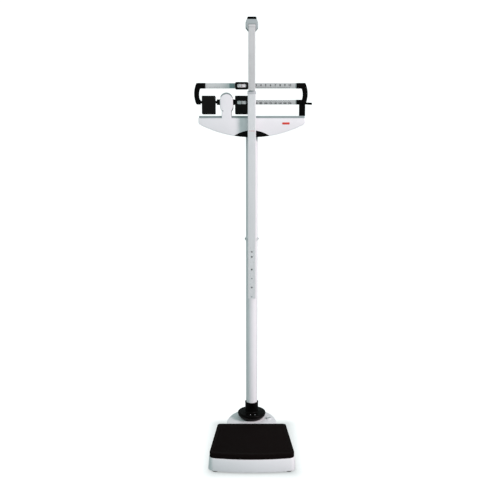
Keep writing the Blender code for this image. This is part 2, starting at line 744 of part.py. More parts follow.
def build_levers():
    top = LEVER_Z + LEVER_DEPTH
    pivot = (0, LONG_FULCRUM_Y, LEVER_EDGE)
    lift = Matrix.Translation((0, 0, LEVER_Z - LEVER_EDGE + LEVER_DEPTH / 2))
    half_bar = LEVER_BAR / 2
    bar_y = LONG_FULCRUM_Y + LONG_ARM / 2
    shape = cross_bar_loop(LONG_HALF, bar_y, LONG_ARM)
    long_lever = plate("long_lever", [offset_loop(shape, pivot)], LEVER_DEPTH, pivot, "black_iron")
    long_lever.data.transform(lift)
    spine_top = SPINE_Z + SPINE_DEPTH
    welded(long_lever, block("lever_riser", (-0.020, bar_y - half_bar, LEVER_Z + 0.001),
                             (0.020, bar_y + half_bar, spine_top)))
    welded(long_lever, block("lever_spine", (-SPINE_HALF, bar_y, SPINE_Z), (SPINE_HALF, 0.012, spine_top - 0.001)))
    boolean(long_lever, rod("nose_hole", DRAW_ROD_RADIUS + 0.0015, (0, 0, SPINE_Z - 0.01), (0, 0, spine_top + 0.01)))
    add_knives(long_lever, fulcrum_places()[:2], load_knife_places()[:2])

    pivot = (0, SHORT_FULCRUM_Y, LEVER_EDGE)
    bar_y = SHORT_FULCRUM_Y - SHORT_ARM / 2
    shape = cross_bar_loop(SHORT_HALF, bar_y, SHORT_ARM)
    short_lever = plate("short_lever", [offset_loop(shape, pivot)], LEVER_DEPTH, pivot, "black_iron")
    short_lever.data.transform(lift)
    nose_low = (-SPINE_HALF, SHACKLE_Y - 0.008, LEVER_Z + 0.001)
    welded(short_lever, block("short_nose", nose_low, (SPINE_HALF, bar_y, top - 0.001)))
    add_knives(short_lever, fulcrum_places()[2:], load_knife_places()[2:])

    wall = SHACKLE_WALL
    inner_low = (SPINE_HALF + 0.0015, LEVER_Z - 0.0008)
    inner_top = spine_top + 0.0008
    outer = [(-inner_low[0] - wall, inner_low[1] - wall), (inner_low[0] + wall, inner_low[1] - wall),
             (inner_low[0] + wall, inner_top + wall), (-inner_low[0] - wall, inner_top + wall)]
    inner = [(-inner_low[0], inner_low[1]), (inner_low[0], inner_low[1]),
             (inner_low[0], inner_top), (-inner_low[0], inner_top)]
    plate("lever_shackle", [outer, inner], 0.005, (0, SHACKLE_Y, 0), "bare_steel", upright=True)


def cross_bar_loop(half, bar_y, arm):
    """A cross bar with a deeper block at each end for its pair of knives."""
    end_reach = arm / 2 + 0.006
    bar, inner, outer = LEVER_BAR / 2, half - LEVER_END / 2, half + LEVER_END / 2
    right = [
        (inner, bar_y - bar),
        (inner, bar_y - end_reach),
        (outer, bar_y - end_reach),
        (outer, bar_y + end_reach),
        (inner, bar_y + end_reach),
        (inner, bar_y + bar),
    ]
    return mirrored(right)


def offset_loop(loop, pivot):
    return [(x - pivot[0], y - pivot[1]) for x, y in loop]


# ---------------------------------------------------------------- column
def build_column():
    flange_base = DECK_TOP + FIT
    flange_top = flange_base + SOCKET_FLANGE_THICKNESS
    spigot = TUBE_RADIUS - TUBE_WALL - FIT
    socket = [
        (spigot - SOCKET_WALL, flange_base + SOCKET_HEIGHT),
        (spigot, flange_base + SOCKET_HEIGHT),
        (spigot, flange_top),
        (SOCKET_FLANGE, flange_top),
        (SOCKET_FLANGE, flange_base),
        (spigot - SOCKET_WALL, flange_base),
    ]
    turned("column_socket", socket, finish="black_iron", ring=True)
    for name, angle in (("socket_bolt_rear", 90), ("socket_bolt_left", 210), ("socket_bolt_right", 330)):
        (x, y), = arc((0, 0), BOLT_CIRCLE, BOLT_CIRCLE, angle, angle, 1)[:1]
        rod(name, 0.0045, (x, y, flange_top + FIT), (x, y, flange_top + 0.004), "bare_steel", steps=6)

    tube_bottom = flange_top + FIT
    tube_top = HOUSING_BOTTOM + SADDLE_EDGE + SADDLE_RISE - 0.005
    tube = [
        (TUBE_RADIUS - TUBE_WALL, tube_top),
        (TUBE_RADIUS, tube_top),
        (TUBE_RADIUS, tube_bottom),
        (TUBE_RADIUS - TUBE_WALL, tube_bottom),
    ]
    turned("column_tube", tube, finish="white_lacquer", steps=48, ring=True)

    bore = TUBE_RADIUS + FIT
    cavity = SOCKET_FLANGE + 0.001
    boot = [
        (bore, COLLAR_TOP),
        (COLLAR_RADIUS + 0.0004, COLLAR_TOP),
        (COLLAR_RADIUS + 0.0008, COLLAR_TOP - 0.003),
        (COLLAR_RADIUS, COLLAR_TOP - 0.012),
        (COLLAR_RADIUS, BOOT_TOP + 0.004),
        (COLLAR_RADIUS + 0.004, BOOT_TOP),
        (BOOT_RIM - 0.006, BOOT_TOP - 0.001),
        (BOOT_RIM - 0.0015, BOOT_TOP - 0.003),
        (BOOT_RIM, BOOT_RIM_Z),
        (BOOT_RIM - 0.0015, BOOT_RIM_Z - 0.008),
        (BOOT_RIM - 0.007, BOOT_RIM_Z - 0.0165),
        (BOOT_FOOT + 0.006, flange_base + 0.0045),
        (BOOT_FOOT, flange_base),
        (cavity, flange_base),
        (cavity, flange_top + 0.006),
        (bore, flange_top + 0.012),
    ]
    turned("column_boot", boot, finish="black_plastic", steps=48, ring=True)


def build_draw_rod():
    """The steel rod down the column, with a nut under the long lever's nose and one over the transfer lever."""
    low_nut = SPINE_Z - 0.0008
    high_nut = TRANSFER_Z + TRANSFER_DEPTH + 0.0008
    profile = [
        (0, high_nut + DRAW_NUT + 0.002),
        (DRAW_ROD_RADIUS, high_nut + DRAW_NUT + 0.002),
        (DRAW_ROD_RADIUS, high_nut + DRAW_NUT),
        (DRAW_NUT_RADIUS, high_nut + DRAW_NUT),
        (DRAW_NUT_RADIUS, high_nut),
        (DRAW_ROD_RADIUS, high_nut),
        (DRAW_ROD_RADIUS, low_nut),
        (DRAW_NUT_RADIUS, low_nut),
        (DRAW_NUT_RADIUS, low_nut - DRAW_NUT),
        (DRAW_ROD_RADIUS, low_nut - DRAW_NUT),
        (DRAW_ROD_RADIUS, low_nut - DRAW_NUT - 0.004),
        (0, low_nut - DRAW_NUT - 0.004),
    ]
    turned("draw_rod", profile, finish="bare_steel", steps=SMALL_STEPS)


# ---------------------------------------------------------------- head
def build_saddle():
    depth = 2 * HOUSING_DEPTH - 0.001
    saddle = plate("head_saddle", [saddle_loop(0)], depth, finish="black_plastic", upright=True)
    boss_top = FRAME_Z - FIT
    boss = block("saddle_boss", (-SADDLE_BOSS_HALF, -0.030, HOUSING_BOTTOM + 0.012),
                 (SADDLE_BOSS_HALF, 0.030, boss_top))
    welded(saddle, boss)
    tube_top = HOUSING_BOTTOM + SADDLE_EDGE + SADDLE_RISE - 0.005
    socket = rod("saddle_socket", TUBE_RADIUS + FIT, (0, 0, HOUSING_BOTTOM - 0.02), (0, 0, tube_top + FIT), steps=48)
    boolean(saddle, socket)
    boolean(saddle, rod("saddle_bore", 0.008, (0, 0, HOUSING_BOTTOM), (0, 0, boss_top + 0.01)))


def shell_half(name, side):
    """Half of the housing: a boat-shaped face with the fulcrum's cover above it, and a wall behind it."""
    depth = HOUSING_DEPTH - FIT
    middle = side * (FIT + depth / 2)
    outline = housing_loop(HOUSING_TOP, fulcrum_crest())
    shell = plate(name, [outline], depth, (0, middle, 0), "white_lacquer", upright=True)
    inner = inset(housing_loop(HOOD_Z + 2 * HOOD_RADIUS), HOUSING_WALL)
    pocket_depth = depth - HOUSING_WALL
    pocket_middle = side * (FIT + pocket_depth / 2 - 0.001)
    boolean(shell, plate(name + "_pocket", [inner], pocket_depth + 0.002, (0, pocket_middle, 0), upright=True))
    arch = plate(name + "_arch", [saddle_loop(0.0005, 0.02)], depth + 0.02, (0, middle, 0), upright=True)
    boolean(shell, arch)


def build_housing():
    shell_half("housing_front_shell", -1)
    shell_half("housing_rear_shell", 1)

    low, high = HOUSING_TOP + FIT, HOUSING_TOP + COVER_RISE
    edge = HOUSING_DEPTH - 0.0015
    section = [(-edge, low), (edge, low), (edge, low + 0.001), (edge - COVER_BEVEL, high),
               (-edge + COVER_BEVEL, high), (-edge, low + 0.001)]
    length = 2 * (HOUSING_HALF - 0.002)
    cover = plate("housing_top_cover", [section], length, finish="grey_trim", upright=True)
    cover.data.transform(Matrix.Rotation(math.pi / 2, 4, "Z"))
    hollow = block("cover_hollow", (-HOUSING_HALF + 0.006, -edge + 0.012, low - 0.01),
                   (HOUSING_HALF - 0.006, edge - 0.012, high - 0.003))
    boolean(cover, hollow)
    opening = block("cover_opening", (FULCRUM_X - LOAD_ARM - 0.012, -0.0285, low - 0.01),
                    (FULCRUM_X + 0.022, 0.0285, high + 0.01))
    boolean(cover, opening)
    notch = NECK_HALF + NECK_FLARE + FIT
    for side in (-1, 1):
        ys = sorted((side * (HOUSING_DEPTH - HOUSING_WALL - FIT), side * (HOUSING_DEPTH + 0.01)))
        boolean(cover, block("neck_notch", (FULCRUM_X - notch, ys[0], low - 0.01), (FULCRUM_X + notch, ys[1], high + 0.01)))

    outer = arc((FULCRUM_X, HOOD_Z), HOOD_RADIUS, HOOD_RADIUS, CAP_START, 180 - CAP_START, 14)
    inner = crescent_edge(HOOD_CAP - FIT)[::-1]
    plate("fulcrum_hood", [outer + inner], 2 * HOUSING_DEPTH, finish="grey_trim", upright=True)


def build_head_frame():
    """The bar inside the housing, with the bridge that holds the transfer lever's fulcrum down."""
    top = FRAME_Z + FRAME_THICKNESS
    frame = block("head_frame", (FRAME_LEFT, -FRAME_HALF_DEPTH, FRAME_Z), (FRAME_RIGHT, FRAME_HALF_DEPTH, top),
                  "black_iron")
    boolean(frame, rod("frame_bore", 0.009, (0, 0, FRAME_Z - 0.01), (0, 0, top + 0.01)))
    gap_top = TRANSFER_Z + TRANSFER_DEPTH + 1.5 * CROSS_KNIFE - KNIFE_SINK + FIT
    bridge_top = HOUSING_TOP - 0.0005
    bridge = block("lever_bridge", (PIVOT_X - 0.006, -0.011, top - 0.001), (PIVOT_X + 0.006, 0.011, bridge_top))
    welded(frame, bridge)
    gap = block("bridge_gap", (PIVOT_X - 0.02, -TRANSFER_HALF - 0.001, top),
                (PIVOT_X + 0.02, TRANSFER_HALF + 0.001, gap_top))
    boolean(frame, gap)

    foot_top = top + FIT + STAND_FOOT
    stand = block("fulcrum_stand", (FULCRUM_X - 0.010, -0.021, top + FIT), (FULCRUM_X + 0.010, 0.021, FULCRUM_Z + 0.002),
                  "bare_steel")
    boolean(stand, block("stand_gap", (FULCRUM_X - 0.02, -0.012, foot_top), (FULCRUM_X + 0.02, 0.012, 1.6)))
    groove_z = FULCRUM_Z + KNIFE_GROOVE - 2 * FIT
    boolean(stand, groove("bearing_groove", (FULCRUM_X, -0.03, groove_z), (FULCRUM_X, 0.03, groove_z)))


def build_transfer_lever():
    """The lever in the housing that carries the draw rod's pull to the beam's load stirrup."""
    top = TRANSFER_Z + TRANSFER_DEPTH
    pivot = (PIVOT_X, 0, top)
    lever = block("transfer_lever", (PIVOT_X - 0.006, -TRANSFER_HALF, TRANSFER_Z), (0.010, TRANSFER_HALF, top),
                  "bare_steel", about=pivot)
    boolean(lever, rod("lever_hole", DRAW_ROD_RADIUS + 0.0012, (0, 0, TRANSFER_Z - 0.01), (0, 0, top + 0.01),
                       steps=12))
    welded(lever, rod("lever_eye", 0.0075, (0, 0, TRANSFER_Z + 0.0002), (0, 0, top - 0.0002), steps=20))
    lever.modifiers.move(1, 0)
    for x, z, direction in ((PIVOT_X, top, 1), (FULCRUM_X - LOAD_ARM, TRANSFER_Z, -1)):
        middle = Vector((x, 0, z + direction * (CROSS_KNIFE / 2 - KNIFE_SINK)))
        ends = Vector((0, TRANSFER_HALF - FIT, 0))
        bar = rod("transfer_knife", CROSS_KNIFE, middle - ends, middle + ends, steps=3)
        first = bar.data.vertices[0].co - middle
        spin = Matrix.Rotation(math.atan2(first.z, first.x) - math.radians(90 * direction), 4, "Y")
        bar.data.transform(Matrix.Translation(middle) @ spin @ Matrix.Translation(-middle))
        welded(lever, bar)

    x = FULCRUM_X - LOAD_ARM
    knife_z = FULCRUM_Z - 0.0042
    straps = block("load_stirrup", (x - 0.004, -STIRRUP_HALF, TRANSFER_Z - 0.0062), (x + 0.004, STIRRUP_HALF, knife_z),
                   "bare_steel")
    welded(straps, rod("stirrup_rings", 0.0078, (x, -STIRRUP_HALF, knife_z), (x, STIRRUP_HALF, knife_z), steps=24))
    inner = STIRRUP_HALF - 0.002
    boolean(straps, block("stirrup_gap", (x - 0.02, -inner, TRANSFER_Z - 0.0032), (x + 0.02, inner, 1.6)))
    boolean(straps, rod("stirrup_eyes", 0.0056, (x, -0.03, knife_z), (x, 0.03, knife_z), steps=24))


def build_guard_post():
    """The fork that the beam's right end plays in, and the lever that locks the beam."""
    base = HOUSING_TOP + COVER_RISE + FIT
    inner = BRACKET_HALF_DEPTH + 0.0015
    outer = inner + POST_CHEEK
    post = block("guard_post", (POST_LEFT, -outer, base), (POST_RIGHT, outer, POST_TOP), "black_plastic")
    boolean(post, block("post_gap", (POST_LEFT - 0.01, -inner, POST_BLOCK), (POST_RIGHT + 0.01, inner, POST_TOP + 0.01)))
    boolean(post, rod("lock_hole", 0.0025 + FIT, (LOCK_X, -outer - 0.01, LOCK_Z), (LOCK_X, -inner + 0.002, LOCK_Z)))

    face = -outer - FIT
    thickness = 0.004
    hub = 0.0065
    spread = 40
    head = arc((0, 0), hub, hub, spread, 360 - spread, 14)
    tip = LEVER_TIP - LOCK_X
    arm = [(tip - 0.003, -0.0060), (tip, -0.0040), (tip, 0.0012), (tip - 0.002, 0.0032)]
    pivot = (LOCK_X, face - thickness / 2, LOCK_Z)
    lever = plate("lock_lever", [head + arm], thickness, pivot, "black_plastic", upright=True)
    pin = rod("lock_pin", 0.0025, (LOCK_X, face - 0.001, LOCK_Z), (LOCK_X, -inner, LOCK_Z))
    welded(lever, pin)


# ---------------------------------------------------------------- beam
def bracket_loop(outer_x, side):
    """The C-shaped end bracket between the two beams, drawn for the right end and mirrored for the left."""
    upper_top = UPPER_BEAM_Z + UPPER_BEAM_HEIGHT / 2 + 0.0005
    upper_low = UPPER_BEAM_Z - UPPER_BEAM_HEIGHT / 2 - 0.0005
    lower_top = FULCRUM_Z + LOWER_BEAM_HEIGHT / 2 + 0.0002
    lower_low = FULCRUM_Z - LOWER_BEAM_HEIGHT / 2 - 0.0002
    reach = BRACKET_LEG
    lower_reach = BRACKET_LEG if side > 0 else 0.0276
    shoulder, heel = BRACKET_BULGE - 0.002, BRACKET_BULGE - 0.003
    outer = bow(-shoulder, upper_top, -heel, lower_low, 0)
    inner = bow(-shoulder - BRACKET_WIDTH + 0.006, upper_low, -heel - BRACKET_WIDTH + 0.006, lower_top,
                -BRACKET_WIDTH)
    corners = [(-reach, upper_low, 0), (inner[0][0], upper_low, 0.004)]
    corners += [(x, z, 0) for x, z in inner[1:-1]]
    corners += [(inner[-1][0], lower_top, 0.004), (-lower_reach, lower_top, 0), (-lower_reach, lower_low, 0)]
    corners += [(outer[-1][0], lower_low, BRACKET_CORNER)]
    corners += [(x, z, 0) for x, z in reversed(outer[1:-1])]
    corners += [(outer[0][0], upper_top, BRACKET_CORNER), (-reach, upper_top, 0)]
    loop = rounded(corners, 4)
    return [(outer_x + side * x, z) for x, z in loop]


def bow(top_x, top_z, low_x, low_z, middle_x):
    """Points down a smooth bow from its top to its foot, through its furthest point half way."""
    steps = 10
    points = []
    for i in range(steps + 1):
        t = i / steps
        straight = top_x + (low_x - top_x) * t
        bulge = middle_x - (top_x + low_x) / 2
        points.append((straight + bulge * math.sin(math.pi * t) ** 0.8, top_z + (low_z - top_z) * t))
    return points


def build_beam_ends():
    pockets = (
        (UPPER_BEAM_Z, UPPER_BEAM_HEIGHT, UPPER_BEAM_HALF_DEPTH),
        (FULCRUM_Z, LOWER_BEAM_HEIGHT, LOWER_BEAM_HALF_DEPTH),
    )
    for name, outer_x, side in (("left_bracket", BEAM_LEFT, -1), ("right_bracket", BEAM_RIGHT, 1)):
        pivot = Vector((FULCRUM_X, 0, FULCRUM_Z))
        loop = [(x - pivot.x, z - pivot.z) for x, z in bracket_loop(outer_x, side)]
        bracket = plate(name, [loop], 2 * BRACKET_HALF_DEPTH, pivot, "black_plastic", upright=True)
        round_edges(bracket, 0.0018)
        mouth = outer_x - side * BRACKET_LEG
        for z, height, half_depth in pockets[: 1 if side < 0 else 2]:
            xs = sorted((mouth - side * 0.01, mouth + side * (BEAM_INSERT + FIT)))
            low = (xs[0], -half_depth - FIT, z - height / 2 - FIT + 0.002)
            high = (xs[1], half_depth + FIT, z + height / 2 + FIT - 0.002)
            boolean(bracket, block("beam_pocket", low, high))
    left = bpy.data.objects["left_bracket"]
    mouth = BEAM_LEFT + 0.0276
    boolean(left, rod("tare_pocket", TARE_SCREW_RADIUS + FIT, (mouth - 0.008, 0, FULCRUM_Z), (mouth + 0.02, 0, FULCRUM_Z)))


def tongued_bar(name, low_x, high_x, z, height, half_depth, ends, finish):
    """A flat beam, stepped down where it enters the pieces that hold its ends."""
    pivot = (FULCRUM_X, 0, FULCRUM_Z)
    bar = block(name, (low_x, -half_depth, z - height / 2), (high_x, half_depth, z + height / 2), finish, about=pivot)
    for end_x, side in ends:
        xs = sorted((end_x, end_x + side * (BEAM_INSERT + 0.01)))
        for low_z, high_z in ((z - height, z - height / 2 + 0.002), (z + height / 2 - 0.002, z + height)):
            boolean(bar, block(name + "_step", (xs[0], -0.02, low_z), (xs[1], 0.02, high_z)))
    return bar


def build_beams():
    left_mouth, right_mouth = BEAM_LEFT + BRACKET_LEG, BEAM_RIGHT - BRACKET_LEG
    tongued_bar("upper_beam", left_mouth - BEAM_INSERT, right_mouth + BEAM_INSERT, UPPER_BEAM_Z, UPPER_BEAM_HEIGHT,
                UPPER_BEAM_HALF_DEPTH, ((left_mouth + FIT, -1), (right_mouth - FIT, 1)), "satin_aluminium")
    lower = tongued_bar("lower_beam", HUB_RIGHT - BEAM_INSERT, right_mouth + BEAM_INSERT, FULCRUM_Z,
                        LOWER_BEAM_HEIGHT, LOWER_BEAM_HALF_DEPTH,
                        ((HUB_RIGHT + FIT, -1), (right_mouth - FIT, 1)), "satin_aluminium")
    pitch = POISE_TRAVEL / (POISE_NOTCHES - 1)
    top = FULCRUM_Z + LOWER_BEAM_HEIGHT / 2
    notch = rod("beam_notch", NOTCH_DEPTH, (ZERO_X, -0.01, top), (ZERO_X, 0.01, top), steps=4)
    row = notch.modifiers.new("row", "ARRAY")
    row.count = POISE_NOTCHES
    row.use_relative_offset = False
    row.use_constant_offset = True
    row.constant_offset_displace = (pitch, 0, 0)
    boolean(lower, notch)


def build_hub():
    """The black casting at the fulcrum that joins the weighing beam, both knives and the tare screw."""
    pivot = (FULCRUM_X, 0, FULCRUM_Z)
    low = (HUB_LEFT, -HUB_HALF_DEPTH, FULCRUM_Z - HUB_HALF_HEIGHT)
    high = (HUB_RIGHT, HUB_HALF_DEPTH, FULCRUM_Z + HUB_HALF_HEIGHT)
    hub = block("beam_hub", low, high, "black_iron", about=pivot)
    half = LOWER_BEAM_HEIGHT / 2 - 0.002 + FIT
    boolean(hub, block("hub_mouth", (HUB_RIGHT - BEAM_INSERT - FIT, -LOWER_BEAM_HALF_DEPTH - FIT, FULCRUM_Z - half),
                       (HUB_RIGHT + 0.01, LOWER_BEAM_HALF_DEPTH + FIT, FULCRUM_Z + half)))
    boolean(hub, rod("hub_thread", TARE_SCREW_RADIUS + FIT, (HUB_LEFT - 0.01, 0, FULCRUM_Z),
                     (HUB_LEFT + 0.0045, 0, FULCRUM_Z)))
    knives = (
        ("fulcrum_knife", FULCRUM_X, FULCRUM_Z + BEAM_KNIFE, 0.0205),
        ("load_knife", FULCRUM_X - LOAD_ARM, FULCRUM_Z - BEAM_KNIFE, 0.0125),
    )
    for name, x, z, half_length in knives:
        bar = rod(name, BEAM_KNIFE, (x, -half_length, z), (x, half_length, z), "bare_steel", steps=4, about=pivot)
        boolean(hub, rod(name + "_seat", BEAM_KNIFE + KNIFE_FIT, (x, -0.03, z), (x, 0.03, z), steps=4))


def build_tare():
    """The counterweight on its screw, left of the fulcrum."""
    pivot = (FULCRUM_X, 0, FULCRUM_Z)
    start = BEAM_LEFT + 0.0276 - 0.0075
    rod("tare_screw", TARE_SCREW_RADIUS, (start, 0, FULCRUM_Z), (HUB_LEFT + 0.004, 0, FULCRUM_Z), "black_iron",
        about=pivot)
    weight = block("tare_weight", (TARE_LEFT, -MAIN_POISE_HALF_DEPTH, MAIN_POISE_BOTTOM),
                   (TARE_RIGHT, MAIN_POISE_HALF_DEPTH, MAIN_POISE_TOP), "black_iron", 0.002)
    bore = TARE_SCREW_RADIUS + RUNNING
    boolean(weight, rod("tare_bore", bore, (TARE_LEFT - 0.01, 0, FULCRUM_Z), (TARE_RIGHT + 0.01, 0, FULCRUM_Z)))


def sliding_weight(name, low_z, high_z, half_depth, beam_z, beam_height, beam_half_depth, window_z):
    """A weight that straddles its beam, with a windowed face through which the beam's figures are read."""
    weight = block(name, (ZERO_X - POISE_HALF, -half_depth, low_z), (ZERO_X + POISE_HALF, half_depth, high_z),
                   "black_iron", 0.0025)
    run = beam_height / 2 + RUNNING
    slot_low = (ZERO_X - POISE_HALF - 0.01, -beam_half_depth - RUNNING, beam_z - run)
    slot_high = (ZERO_X + POISE_HALF + 0.01, beam_half_depth + RUNNING, beam_z + run)
    boolean(weight, block(name + "_slot", slot_low, slot_high))
    half_w, half_h = WINDOW_WIDTH / 2, WINDOW_HEIGHT / 2
    boolean(weight, block(name + "_window", (ZERO_X - half_w, -half_depth - 0.01, window_z - half_h),
                          (ZERO_X + half_w, 0, window_z + half_h)))
    lens_front = -half_depth + LENS_RECESS
    block(name + "_lens", (ZERO_X - half_w + FIT, lens_front, window_z - half_h + FIT),
          (ZERO_X + half_w - FIT, lens_front + LENS_THICKNESS, window_z + half_h - FIT), "clear_plastic")
    return weight


def build_poises():
    main = sliding_weight("main_poise", MAIN_POISE_BOTTOM, MAIN_POISE_TOP, MAIN_POISE_HALF_DEPTH, FULCRUM_Z,
                          LOWER_BEAM_HEIGHT, LOWER_BEAM_HALF_DEPTH, MAIN_WINDOW_Z)
    sliding_weight("fine_poise", UPPER_BEAM_Z - FINE_POISE_HEIGHT / 2, UPPER_BEAM_Z + FINE_POISE_HEIGHT / 2,
                   FINE_POISE_HALF_DEPTH, UPPER_BEAM_Z, UPPER_BEAM_HEIGHT, UPPER_BEAM_HALF_DEPTH, UPPER_BEAM_Z)
    beam_top = FULCRUM_Z + LOWER_BEAM_HEIGHT / 2
    guide = 0.0032
    boolean(main, rod("plunger_hole", guide + FIT, (ZERO_X, 0, beam_top), (ZERO_X, 0, MAIN_POISE_TOP + 0.01)))
    tip = beam_top + FIT
    profile = [
        (0, MAIN_POISE_TOP - 0.001),
        (guide, MAIN_POISE_TOP - 0.001),
        (guide, tip + 0.003),
        (0.0004, tip),
        (0, tip),
    ]
    turned("poise_plunger", profile, (ZERO_X, 0, 0), "bare_steel", SMALL_STEPS)


# ---------------------------------------------------------------- height rod
def box_tube(name, width, depth, wall, low_z, high_z, finish):
    half_w, half_d = width / 2, depth / 2
    outer = [(-half_w, -half_d), (half_w, -half_d), (half_w, half_d), (-half_w, half_d)]
    return plate(name, [outer, inset(outer, wall)], high_z - low_z, (0, ROD_Y, (low_z + high_z) / 2), finish)


def build_height_rod():
    outer = box_tube("rod_outer", ROD_WIDTH, ROD_DEPTH, ROD_WALL, ROD_BOTTOM, ROD_TOP, "satin_aluminium")
    front = ROD_Y - ROD_DEPTH / 2
    for z in OPEN_HOLES + PLUGGED_HOLES:
        boolean(outer, rod("rod_hole", ROD_HOLE_RADIUS, (0, front - 0.01, z), (0, front + ROD_WALL + 0.0005, z)))
    for name, z in zip(("rod_plug_upper", "rod_plug_lower"), PLUGGED_HOLES):
        seat = front + FIT
        rod(name, ROD_HOLE_RADIUS - FIT, (0, seat, z), (0, seat + PLUG_THICKNESS, z), "grey_plastic")

    box_tube("rod_inner", INNER_WIDTH, INNER_DEPTH, INNER_WALL, INNER_BOTTOM, HINGE_Z - 0.001, "satin_aluminium")

    collar_w = ROD_WIDTH / 2 + FIT + GUIDE_WALL
    collar_d = ROD_DEPTH / 2 + FIT + GUIDE_WALL
    low = (-collar_w, ROD_Y - collar_d, ROD_TOP - GUIDE_HEIGHT + GUIDE_LIP)
    high = (collar_w, ROD_Y + collar_d, ROD_TOP + GUIDE_LIP)
    guide = block("rod_guide", low, high, "grey_plastic")
    inner_w, inner_d = INNER_WIDTH / 2 + RUNNING, INNER_DEPTH / 2 + RUNNING
    boolean(guide, block("guide_way", (-inner_w, ROD_Y - inner_d, 0), (inner_w, ROD_Y + inner_d, 2)))
    seat_w, seat_d = ROD_WIDTH / 2 + FIT, ROD_DEPTH / 2 + FIT
    boolean(guide, block("guide_seat", (-seat_w, ROD_Y - seat_d, 0), (seat_w, ROD_Y + seat_d, ROD_TOP + FIT)))

    back = ROD_Y + ROD_DEPTH / 2 + FIT
    for name, (low_z, high_z) in zip(("rod_bracket_lower", "rod_bracket_upper"), BRACKET_SPANS):
        spacer = block(name, (-ROD_BRACKET_HALF, back, low_z), (ROD_BRACKET_HALF, -0.010, high_z), "grey_plastic")
        boolean(spacer, rod("spacer_seat", TUBE_RADIUS + FIT, (0, 0, low_z - 0.01), (0, 0, high_z + 0.01), steps=48))

    bore = TUBE_RADIUS + FIT
    half = BAND_HEIGHT / 2
    ring = [(bore, half), (bore + BAND_THICKNESS, half), (bore + BAND_THICKNESS, -half), (bore, -half)]
    band = turned("rod_clamp_band", ring, (0, 0, BAND_Z), "satin_aluminium", ring=True)
    lug = block("band_lug", (-ROD_BRACKET_HALF, back, BAND_Z - half + 0.001),
                (ROD_BRACKET_HALF, -bore - 0.0005, BAND_Z + half - 0.001))
    welded(band, lug)


def build_measuring_head():
    """The head on the inner rod, and the tongue that folds down along it."""
    half_depth = HEAD_DEPTH / 2
    right = [
        (INNER_WIDTH / 2 + 0.0015, HEAD_BOTTOM, 0.002),
        (HEAD_HALF, HEAD_BOTTOM + 0.012, 0.006),
        (HEAD_HALF, HEAD_BOTTOM + 0.030, 0.008),
        (CAP_HALF + 0.0015, HEAD_TOP - CAP_THICKNESS, 0.002),
    ]
    loop = rounded(mirrored(right), 4)
    centre = HINGE_Y + half_depth - 0.005
    head = plate("measuring_head", [loop], HEAD_DEPTH, (0, centre, 0), "grey_plastic", upright=True)
    slot_half = TONGUE_WIDTH / 2 + RUNNING
    back = HINGE_Y + KNUCKLE + 0.0006
    boolean(head, block("tongue_slot", (-slot_half, HINGE_Y - 0.03, HEAD_BOTTOM - 0.01),
                        (slot_half, back, HINGE_Z + KNUCKLE + 0.0006)))
    inner_w, inner_d = INNER_WIDTH / 2 + FIT, INNER_DEPTH / 2 + FIT
    boolean(head, block("inner_socket", (-inner_w, ROD_Y - inner_d, HEAD_BOTTOM - 0.01),
                        (inner_w, ROD_Y + inner_d, HINGE_Z - 0.001 + FIT)))
    pin_half = HEAD_HALF - 0.002
    hole = rod("pin_hole", HINGE_PIN + FIT, (-pin_half - 0.01, HINGE_Y, HINGE_Z), (pin_half + 0.01, HINGE_Y, HINGE_Z))
    boolean(head, hole)
    rod("tongue_pin", HINGE_PIN, (-pin_half, HINGE_Y, HINGE_Z), (pin_half, HINGE_Y, HINGE_Z), "bare_steel")

    cap_low = HEAD_TOP - CAP_THICKNESS + FIT
    crown = arc((0, cap_low), CAP_HALF, CAP_THICKNESS - FIT, 0, 180, 14)
    crown = [(x, max(z, cap_low)) for x, z in crown]
    shaped = [(x, cap_low + (CAP_THICKNESS - FIT) * ((z - cap_low) / (CAP_THICKNESS - FIT)) ** 0.45) for x, z in crown]
    plate("head_cap", [shaped], HEAD_DEPTH - 0.004, (0, centre, 0), "black_plastic", upright=True)

    pivot = Vector((0, HINGE_Y, HINGE_Z))
    half_w, half_t = TONGUE_WIDTH / 2, TONGUE_THICKNESS / 2
    tongue = block("measuring_tongue", (-half_w, HINGE_Y - half_t, TONGUE_END),
                   (half_w, HINGE_Y + half_t - 0.0005, HINGE_Z), "grey_plastic", about=pivot)
    round_edges(tongue, 0.0015)
    welded(tongue, rod("knuckle", KNUCKLE, (-half_w, HINGE_Y, HINGE_Z), (half_w, HINGE_Y, HINGE_Z), steps=24))
    boolean(tongue, rod("knuckle_bore", HINGE_PIN + RUNNING, (-0.03, HINGE_Y, HINGE_Z), (0.03, HINGE_Y, HINGE_Z)))


def main():
    build_base()
    build_rear_deck()
    build_feet()
    build_wheels()
    build_spirit_level()
    build_platform()
    build_levers()
    build_column()
    build_draw_rod()
    build_saddle()
    build_housing()
    build_head_frame()
    build_transfer_lever()
    build_guard_post()
    build_beam_ends()
    build_beams()
    build_hub()
    build_tare()
    build_poises()
    build_height_rod()
    build_measuring_head()


main()
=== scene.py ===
import logging
import math
from collections.abc import Callable, Iterable, Sequence
from dataclasses import dataclass
from enum import Enum

import bmesh
import bpy
from mathutils import Matrix, Vector


